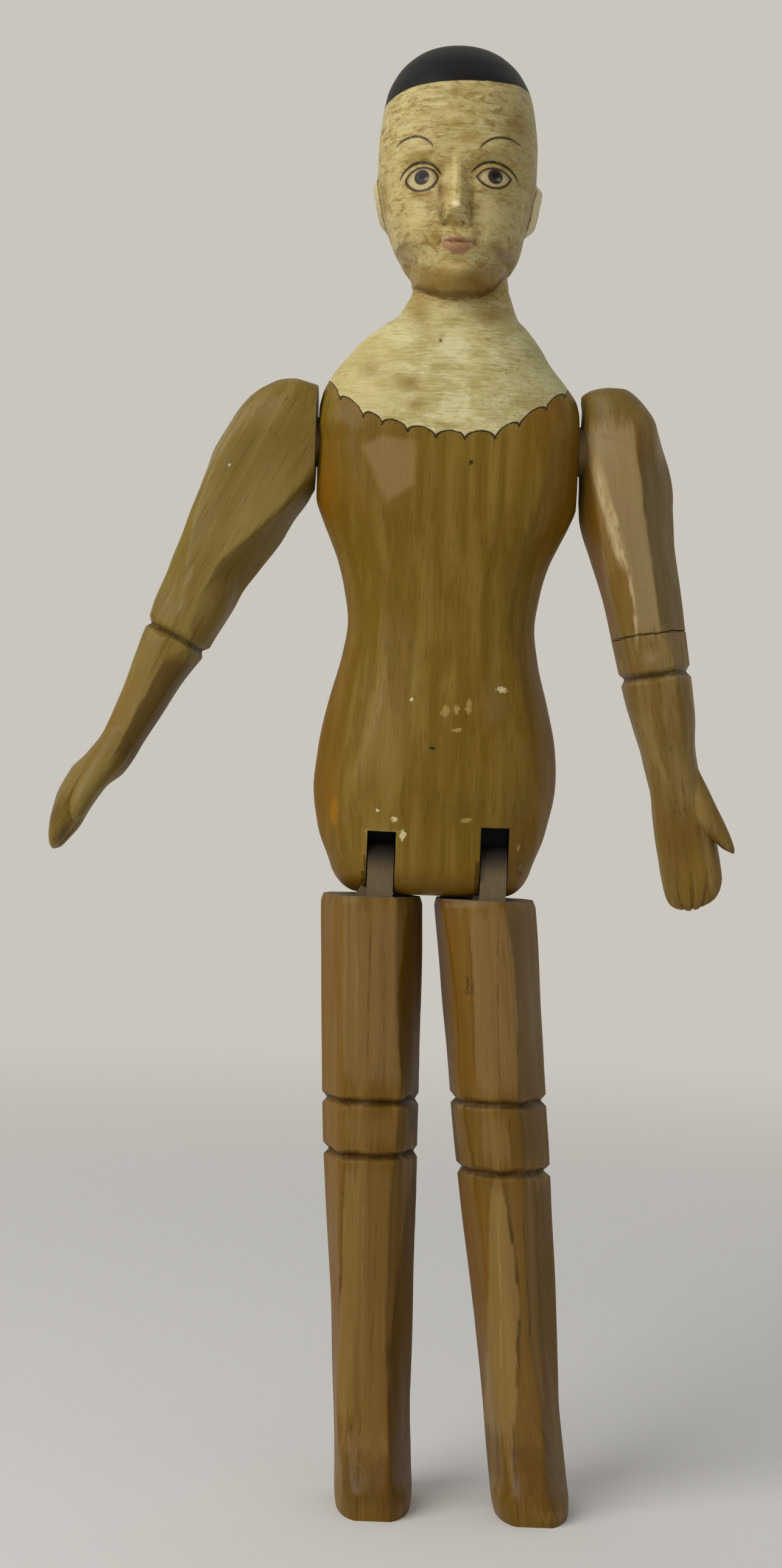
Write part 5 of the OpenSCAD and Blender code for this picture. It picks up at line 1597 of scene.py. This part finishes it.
def limb_paint(name, across, along, tones, bands, marks, streaks, rings, end=None):
    """Brown paint on an arm or a leg, in its own length, with marks, painted highlights and painted shade
    on its facets, and the dirt in its grooves.
    """
    paint = Paint(name)
    x, y, z = paint.x, paint.y, paint.z
    u = x * across[0] + z * across[1] + across[2]
    s = x * along[0] + z * along[1] + along[2]
    paint.place = paint.vector(u, y, s)
    base, rough, height = brown_coat(paint, tones, 0.62)
    wobble = paint.noise((3.0, 3.0, 3.0), 3.0)
    moved = paint.vector(u + wobble * 2.4 - 1.2, 0.0, s + wobble * 4.0 - 2.0)
    on_front = paint.ramp(y, 6.0, -2.0)
    grain = paint.noise((0.7, 0.7, 34), 4.0, 0.6, shift=9.0)
    wander = u + paint.noise((9, 9, 16), 2.0) * 2.6 - 1.3
    uneven = s + paint.noise((1.6, 1.6, 14), 3.0) * 16.0 - 8.0
    for left, right, ends, tone, strength in bands:
        covered = paint.band(wander, uneven, left, right, ends) * on_front
        base = paint.mix(covered * (grain * 0.9 + 0.55).at_most(1.0) * strength, base, colour(*tone))
    for middle, width, length, tone, strength in marks:
        base = paint.mix(paint.near(moved, middle, width, length, strength) * on_front, base, colour(*tone))
    breaks = paint.ramp(paint.noise((2.0, 2.0, 9.0), 4.0, 0.65, shift=4.0), 0.34, 0.62)
    for course, half, width, tone, strength in streaks:
        line = paint.streak(wander, s, course, half, width, breaks)
        base = paint.mix(line * on_front * strength, base, colour(*tone))
    for place, width in rings:
        ring = paint.ramp(abs(s - place + wobble - 0.5), width, width * 0.3, 0.0, 0.62)
        base = paint.mix(ring, base, colour(44, 28, 8))
    if end is not None:
        bare = paint.ramp(z, end, end + 0.5)
        grain = paint.noise((0.9, 2.4, 9), 4.0, 0.6)
        wood = paint.mix(grain, colour(86, 72, 50), colour(118, 102, 74))
        # Painted shade darkens the tongue's top, which sits deep in the slot
        wood = paint.mix(paint.ramp(z, PIN_Z - 5, PIN_Z + 5, 0.0, 0.96), wood, colour(24, 17, 9))
        base = paint.mix(bare, base, wood)
        rough = rough + bare * (0.62 - rough)
    return paint.finish(base, rough, height, LIMB_BUMP)


def arm_paint(name, side, pivot_x, splay, tones, bands, marks, streaks, rings):
    a = math.radians(splay) * side
    across = (math.cos(a), math.sin(a), -side * pivot_x * math.cos(a) - PEG_Z * math.sin(a))
    along = (math.sin(a), -math.cos(a), -side * pivot_x * math.sin(a) + PEG_Z * math.cos(a))
    return limb_paint(name, across, along, tones, bands, marks, streaks, rings)


def leg_paint(name, side, lean, knees, bands, marks, streaks):
    slope = math.tan(math.radians(lean))
    across = (1.0, slope, -side * THIGH_X - slope * LEG_H)
    rings = [(knee, 2.1) for knee in knees]
    return limb_paint(name, across, (0.0, 1.0, 0.0), LEG_TONES, bands, marks, streaks, rings, LEG_H - 0.6)


def bare_wood_paint():
    paint = Paint("bare_wood")
    grain = paint.noise((6, 0.9, 0.9), 4.0, 0.6)
    cloud = paint.noise((7, 7, 7), 3.0)
    base = paint.mix(grain, colour(84, 62, 34), colour(124, 98, 60))
    base = paint.mix(paint.ramp(cloud, 0.5, 0.7, 0.0, 0.4), base, colour(62, 42, 20))
    return paint.finish(base, grain * 0.2 + 0.52, grain, BARE_BUMP)


def tones_of(*tones):
    return [colour(*tone) for tone in tones]


# Brown coats: dark, middle, light, orange
BODY_TONES = tones_of((76, 52, 2), (110, 84, 10), (134, 107, 42), (112, 75, 0))
LEG_TONES = tones_of((70, 44, 2), (106, 76, 14), (132, 101, 44), (108, 69, 2))
RIGHT_ARM_TONES = tones_of((78, 60, 6), (118, 96, 34), (136, 114, 56), (108, 82, 8))
LEFT_ARM_TONES = tones_of((76, 54, 8), (116, 91, 36), (138, 115, 66), (114, 76, 8))

# Lines along a limb are given as place across, lean, bow and the place along where these hold.
# Bands: left line, right line, ends, tone, strength
# Marks: place across and along, half width, half length, tone, strength
# Streaks: line, half length, half width, tone, strength
PAST_LEFT = (-40, 0, 0, 0)
PAST_RIGHT = (40, 0, 0, 0)
# Painted shade darkens the right arm's facets on the image's right, and a painted highlight lightens the
# forearm's facet on the left
RIGHT_ARM_BANDS = [
    ((4.5, -0.18, 0.0016, 60), PAST_RIGHT, (4, 62), (104, 82, 18), 0.45),
    ((1.5, 0, 0, 120), (30, 0, 0, 0), (95, 150), (76, 52, 4), 0.7),
    ((-7.5, 0.10, -0.0007, 120), (1.5, 0, 0, 120), (93, 158), (126, 100, 44), 0.5),
]
# Painted highlights lighten the arm's upper front, its left side and the thumb; painted shade darkens the
# shoulder's edge on the image's right and the fingers behind the thumb; the white dot is a chip
RIGHT_ARM_MARKS = [
    ((-16, 70), 5, 60, (128, 108, 30), 0.5), ((-5, 140), 7, 60, (118, 88, 16), 0.4),
    ((0, 20), 26, 40, (130, 108, 56), 0.4), ((19, -8), 3, 40, (86, 66, 20), 0.6),
    ((-8, 176), 5, 14, (88, 64, 20), 0.7), ((-1, 160), 5, 18, (138, 120, 66), 0.6),
    ((-1, 182), 3.5, 9, (74, 52, 14), 0.7), ((-13.2, 19.9), 0.8, 0.8, (240, 232, 206), 1.0),
]
# The light streaks are painted highlights along the ridges; the dark ones follow facet edges
RIGHT_ARM_STREAKS = [
    ((-4.5, 0.30, 0, 72), 16, 1.9, (150, 130, 84), 0.6),
    ((15.5, -0.1, 0, 22), 30, 0.8, (86, 64, 14), 0.4),
    ((0.9, 0.02, 0, 128), 30, 1.3, (142, 120, 72), 0.5),
    ((4.2, -0.18, 0.0016, 60), 20, 0.8, (78, 58, 12), 0.4),
]
# The lit front facet and the ridge beside it are painted lighter, a painted highlight of the paint's sheen
# with some wear on the ridge; painted shade darkens the facet on the image's right; the left facet is more
# orange
LEFT_ARM_BANDS = [
    ((-7.4, 0.06, -0.0024, 46), (2.4, 0, 0, 30), (-14, 78), (152, 130, 88), 0.7),
    (PAST_LEFT, (-8.0, 0.06, -0.0024, 46), (14, 76), (128, 90, 26), 0.5),
    ((-14.4, 0.13, 0.0008, 22), (-9.4, 0.06, -0.0016, 30), (-2, 50), (168, 142, 92), 0.8),
    ((2.8, 0, 0, 30), PAST_RIGHT, (2, 76), (96, 76, 26), 0.6),
]
# The light spot on the thumb is a painted highlight and the dark spot in the palm is painted shade; the
# other marks are tones of the paint
LEFT_ARM_MARKS = [
    ((-18.5, 40), 4.5, 60, (122, 76, 4), 0.6), ((0, -24), 26, 20, (108, 90, 38), 0.7),
    ((-3, 84), 6, 6, (162, 138, 92), 0.5), ((3, 178), 14, 20, (128, 98, 26), 0.6),
    ((2, 158), 10, 10, (112, 80, 14), 0.6), ((10, 146), 6, 12, (144, 116, 58), 0.6),
]
# The light streaks along the ridge and the left edge are painted highlights, with some wear on the ridge;
# the dark ones are lines between the fingers and facets, and painted shade beside the thumb
LEFT_ARM_STREAKS = [
    ((-7.6, 0.06, -0.0024, 46), 40, 1.2, (190, 166, 122), 0.9),
    ((2.5, 0, 0, 40), 34, 0.7, (84, 62, 18), 0.5),
    ((-11.6, 0.14, -0.0005, 26), 24, 2.4, (196, 172, 126), 0.95),
    ((-15.2, 0, -0.0008, 30), 30, 1.1, (156, 128, 76), 0.5),
    ((-3.6, 0, 0, 176), 9, 0.6, (84, 58, 14), 0.6),
    ((2.4, 0, 0, 178), 9, 0.6, (84, 58, 14), 0.5), ((8.6, 0, 0, 178), 9, 0.6, (84, 58, 14), 0.5),
    ((-5.0, 0.12, 0.003, 120), 26, 1.4, (146, 118, 62), 0.5),
    ((15.4, 0.6, 0, 162), 6, 0.9, (62, 40, 8), 0.8),
]
# Painted highlights lighten the leg's front facets and the knee band; painted shade darkens the facets on
# the image's right; the left facets are more orange and the band above the foot is darker
RIGHT_LEG_BANDS = [
    (PAST_LEFT, (-11.6, 0, 0, 200), (2, 243), (120, 82, 10), 0.55),
    ((-11.6, 0, 0, 200), (10.0, 0, 0.002, 200), (168, 243), (132, 102, 56), 0.6),
    ((10.4, 0, 0.002, 200), PAST_RIGHT, (143, 243), (82, 56, 4), 0.7),
    ((-11.0, 0, 0, 150), (9.8, 0, 0, 150), (143, 161), (128, 97, 48), 0.5),
    ((-11.8, 0.02, 0, 110), (-5.0, 0.03, 0, 110), (34, 139), (144, 112, 60), 0.5),
    ((-5.0, 0.03, 0, 110), (8.0, 0.07, 0.0008, 70), (20, 139), (124, 93, 42), 0.5),
    ((8.4, 0.07, 0.0008, 70), PAST_RIGHT, (2, 139), (84, 58, 6), 0.7),
    ((-11, 0, 0, 20), (8, 0, 0, 20), (3, 26), (84, 56, 10), 0.5),
]
RIGHT_LEG_MARKS = [((-2, 34), 8, 20, (120, 84, 26), 0.4), ((7, 62), 3, 10, (70, 46, 6), 0.6)]
# The light streaks are painted highlights along ridges; the dark ones follow facet edges and cracks
RIGHT_LEG_STREAKS = [
    ((-12.1, 0.02, 0, 110), 42, 0.8, (62, 38, 2), 0.75),
    ((8.2, 0.07, 0.0008, 70), 40, 0.7, (60, 38, 4), 0.5),
    ((-2.0, 0.02, 0.0006, 205), 34, 0.7, (80, 54, 10), 0.6),
    ((4.5, 0, -0.0006, 196), 34, 0.7, (78, 50, 8), 0.5),
    ((-6.5, -0.02, 0, 200), 30, 0.9, (150, 120, 70), 0.5),
    ((-4.0, 0, 0.0006, 96), 46, 0.9, (146, 114, 60), 0.5),
    ((-5.0, 0, 0, 26), 18, 0.8, (56, 36, 8), 0.6), ((1.0, 0.03, 0, 90), 40, 0.6, (78, 52, 8), 0.5),
]
# Painted highlights lighten the leg's front facets, the knee band and the toe; painted shade darkens the
# facets on the image's right; the left facets are more orange and the band above the foot is darker
LEFT_LEG_BANDS = [
    (PAST_LEFT, (-8.8, 0.03, 0, 205), (165, 243), (118, 78, 6), 0.6),
    ((-8.8, 0.03, 0, 205), (7.8, 0, -0.0016, 205), (165, 243), (136, 106, 60), 0.6),
    ((8.2, 0, -0.0016, 205), PAST_RIGHT, (137, 243), (96, 70, 18), 0.65),
    ((-9.0, 0, 0, 150), (1.5, 0, 0, 150), (137, 161), (134, 104, 56), 0.55),
    (PAST_LEFT, (-9.8, 0.08, 0, 100), (2, 134), (120, 80, 10), 0.5),
    ((-9.8, 0.08, 0, 100), (1.0, 0, -0.0018, 90), (28, 133), (150, 120, 66), 0.6),
    ((1.4, 0, -0.0018, 90), (9.0, 0.02, 0, 90), (20, 133), (118, 88, 38), 0.5),
    ((9.4, 0.02, 0, 90), PAST_RIGHT, (2, 134), (90, 64, 12), 0.65),
    ((-6, 0, 0, 20), (10, 0, 0, 20), (8, 34), (88, 58, 8), 0.55),
    ((1.0, 0, 0, 6), (12.5, 0, 0, 6), (1, 9), (150, 112, 54), 0.6),
]
LEFT_LEG_MARKS = [
    ((-10.8, 211), 0.9, 5, (54, 32, 4), 0.8), ((-8.6, 209), 0.8, 4, (56, 34, 6), 0.7),
    ((-11.4, 207), 2.8, 1.2, (70, 44, 6), 0.6),
]
# The light streaks are painted highlights along ridges; the dark ones follow facet edges and cracks
LEFT_LEG_STREAKS = [
    ((1.0, 0, -0.0018, 90), 52, 1.2, (70, 40, 8), 0.85),
    ((0.4, 0.05, 0.0006, 200), 40, 0.7, (84, 56, 14), 0.6),
    ((4.6, 0, 0, 205), 34, 0.6, (88, 60, 16), 0.5), ((-9.2, 0.03, 0, 205), 36, 0.6, (72, 46, 4), 0.5),
    ((7.8, 0, -0.0016, 205), 36, 0.8, (156, 126, 74), 0.5),
    ((-6.0, 0.04, 0, 90), 44, 0.8, (166, 136, 82), 0.5),
    ((5.0, 0.02, 0, 95), 40, 0.6, (74, 48, 10), 0.6), ((-4.8, 0, 0, 24), 14, 0.9, (50, 32, 8), 0.7),
    ((8.6, -0.3, 0, 30), 9, 0.9, (56, 36, 8), 0.6), ((2.3, 0, 0.0, 150), 11, 0.7, (80, 52, 14), 0.6),
]

body_paint = block_paint()
right_arm_paint = arm_paint("right_arm_paint", *RIGHT_HANG, RIGHT_ARM_TONES,
                            RIGHT_ARM_BANDS, RIGHT_ARM_MARKS, RIGHT_ARM_STREAKS, [(UPPER_ARM_L, 1.8)])
left_arm_paint = arm_paint("left_arm_paint", *LEFT_HANG, LEFT_ARM_TONES,
                           LEFT_ARM_BANDS, LEFT_ARM_MARKS, LEFT_ARM_STREAKS,
                           [(UPPER_ARM_L, 1.8), (SEAM_S, 0.7)])
right_leg_paint = leg_paint("right_leg_paint", -1, RIGHT_LEAN, RIGHT_KNEES,
                            RIGHT_LEG_BANDS, RIGHT_LEG_MARKS, RIGHT_LEG_STREAKS)
left_leg_paint = leg_paint("left_leg_paint", 1, LEFT_LEAN, LEFT_KNEES,
                           LEFT_LEG_BANDS, LEFT_LEG_MARKS, LEFT_LEG_STREAKS)
bare_wood = bare_wood_paint()


def floor_paint():
    """A pale floor that fades into the backdrop's light away from the doll."""
    paint = Paint("floor")
    lit = paint.node("ShaderNodeBsdfDiffuse", inputs={"Color": (0.74, 0.72, 0.68, 1)})
    clear = paint.node("ShaderNodeBsdfTransparent")
    faded = paint.ramp(paint.length(paint.place), 350, 1700)
    mixed = paint.node("ShaderNodeMixShader", inputs={0: faded, 1: lit, 2: clear})
    paint.node("ShaderNodeOutputMaterial", inputs={"Surface": mixed})
    return paint.material


def dress(piece, body, node, material):
    piece.data.materials.clear()
    piece.data.materials.append(material)
    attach(piece, body)
    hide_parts(node)


block = settle(head_and_torso())
dress(block, "torso", "head_and_torso", body_paint)
dress(settle(right_arm()), "right_arm", "right_arm", right_arm_paint)
dress(settle(left_upper_arm()), "left_arm", "left_upper_arm", left_arm_paint)
dress(settle(left_forearm()), "left_arm", "left_forearm", left_arm_paint)
right_leg = leg("right_leg_carved", -1, RIGHT_LEAN, RIGHT_SLOT_X, RIGHT_FLARE, RIGHT_KNEES,
                RIGHT_LEG_EDGES, 61)
left_leg = leg("left_leg_carved", 1, LEFT_LEAN, LEFT_SLOT_X, LEFT_FLARE, LEFT_KNEES,
               LEFT_LEG_EDGES, 71)
dress(settle(right_leg), "right_leg", "right_leg", right_leg_paint)
dress(settle(left_leg), "left_leg", "left_leg", left_leg_paint)

PINS = [
    "right_shoulder_pin", "left_shoulder_pin", "right_hip_pin", "left_hip_pin",
    "right_shoulder_peg", "left_shoulder_peg", "left_elbow_dowel",
]
for name in PINS:
    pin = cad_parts[name]
    pin.data.materials.clear()
    pin.data.materials.append(bare_wood)


# Camera, room and light

CAMERA_AT = (-0.864, -948.81, 288.4)
CAMERA_ROLL = math.radians(2.21)
SENSOR = 36
PHOTO_LONG_SIDE = 2576
FOCAL_PIXELS = 3843
ROOM_STRENGTH = 0.45
BACKDROP = colour(202, 198, 190)

# In metres: half the floor's edge, the key light's place, what it looks at, and its edge
FLOOR_HALF = 6
KEY_AT = (-1.15, -1.0, 1.25)
KEY_TARGET = (0, 0, 0.35)
KEY_EDGE = 1.2
KEY_ENERGY = 21.5


def place_camera():
    data = bpy.data.cameras.new("camera")
    data.sensor_fit = "AUTO"
    data.sensor_width = SENSOR
    data.lens = SENSOR * FOCAL_PIXELS / PHOTO_LONG_SIDE
    data.clip_start = 0.01
    data.clip_end = 20
    camera = bpy.data.objects.new("camera", data)
    bpy.context.scene.collection.objects.link(camera)
    camera.location = Vector(CAMERA_AT) * MM
    camera.rotation_euler = (math.pi / 2, -CAMERA_ROLL, 0)
    bpy.context.scene.camera = camera


def light_room():
    """White light from all round. Camera, mirrored and passed rays see a pale backdrop instead."""
    world = bpy.data.worlds.new("studio")
    bpy.context.scene.world = world
    world.use_nodes = True
    nodes = world.node_tree.nodes
    link = world.node_tree.links.new
    light = nodes["Background"]
    light.inputs["Color"].default_value = (1, 1, 1, 1)
    light.inputs["Strength"].default_value = ROOM_STRENGTH
    seen = nodes.new("ShaderNodeBackground")
    seen.inputs["Color"].default_value = BACKDROP
    ray = nodes.new("ShaderNodeLightPath")
    looking = ray.outputs["Is Camera Ray"]
    for kind in ("Is Glossy Ray", "Is Transmission Ray"):
        either = nodes.new("ShaderNodeMath")
        either.operation = "MAXIMUM"
        link(looking, either.inputs[0])
        link(ray.outputs[kind], either.inputs[1])
        looking = either.outputs[0]
    both = nodes.new("ShaderNodeMixShader")
    link(looking, both.inputs[0])
    link(light.outputs[0], both.inputs[1])
    link(seen.outputs[0], both.inputs[2])
    link(both.outputs[0], nodes["World Output"].inputs["Surface"])


def place_key():
    data = bpy.data.lights.new("key", "AREA")
    data.size = KEY_EDGE
    data.energy = KEY_ENERGY
    key = bpy.data.objects.new("key", data)
    bpy.context.scene.collection.objects.link(key)
    key.location = KEY_AT
    key.rotation_euler = (Vector(KEY_TARGET) - key.location).to_track_quat("-Z", "Y").to_euler()


place_camera()
light_room()
place_key()

corners = [(-1, -1), (1, -1), (1, 1), (-1, 1)]
floor = mesh_object("floor", [(FLOOR_HALF * x, FLOOR_HALF * y, 0) for x, y in corners], [(0, 1, 2, 3)])
floor.data.materials.append(floor_paint())

bpy.context.scene.view_settings.view_transform = "Standard"
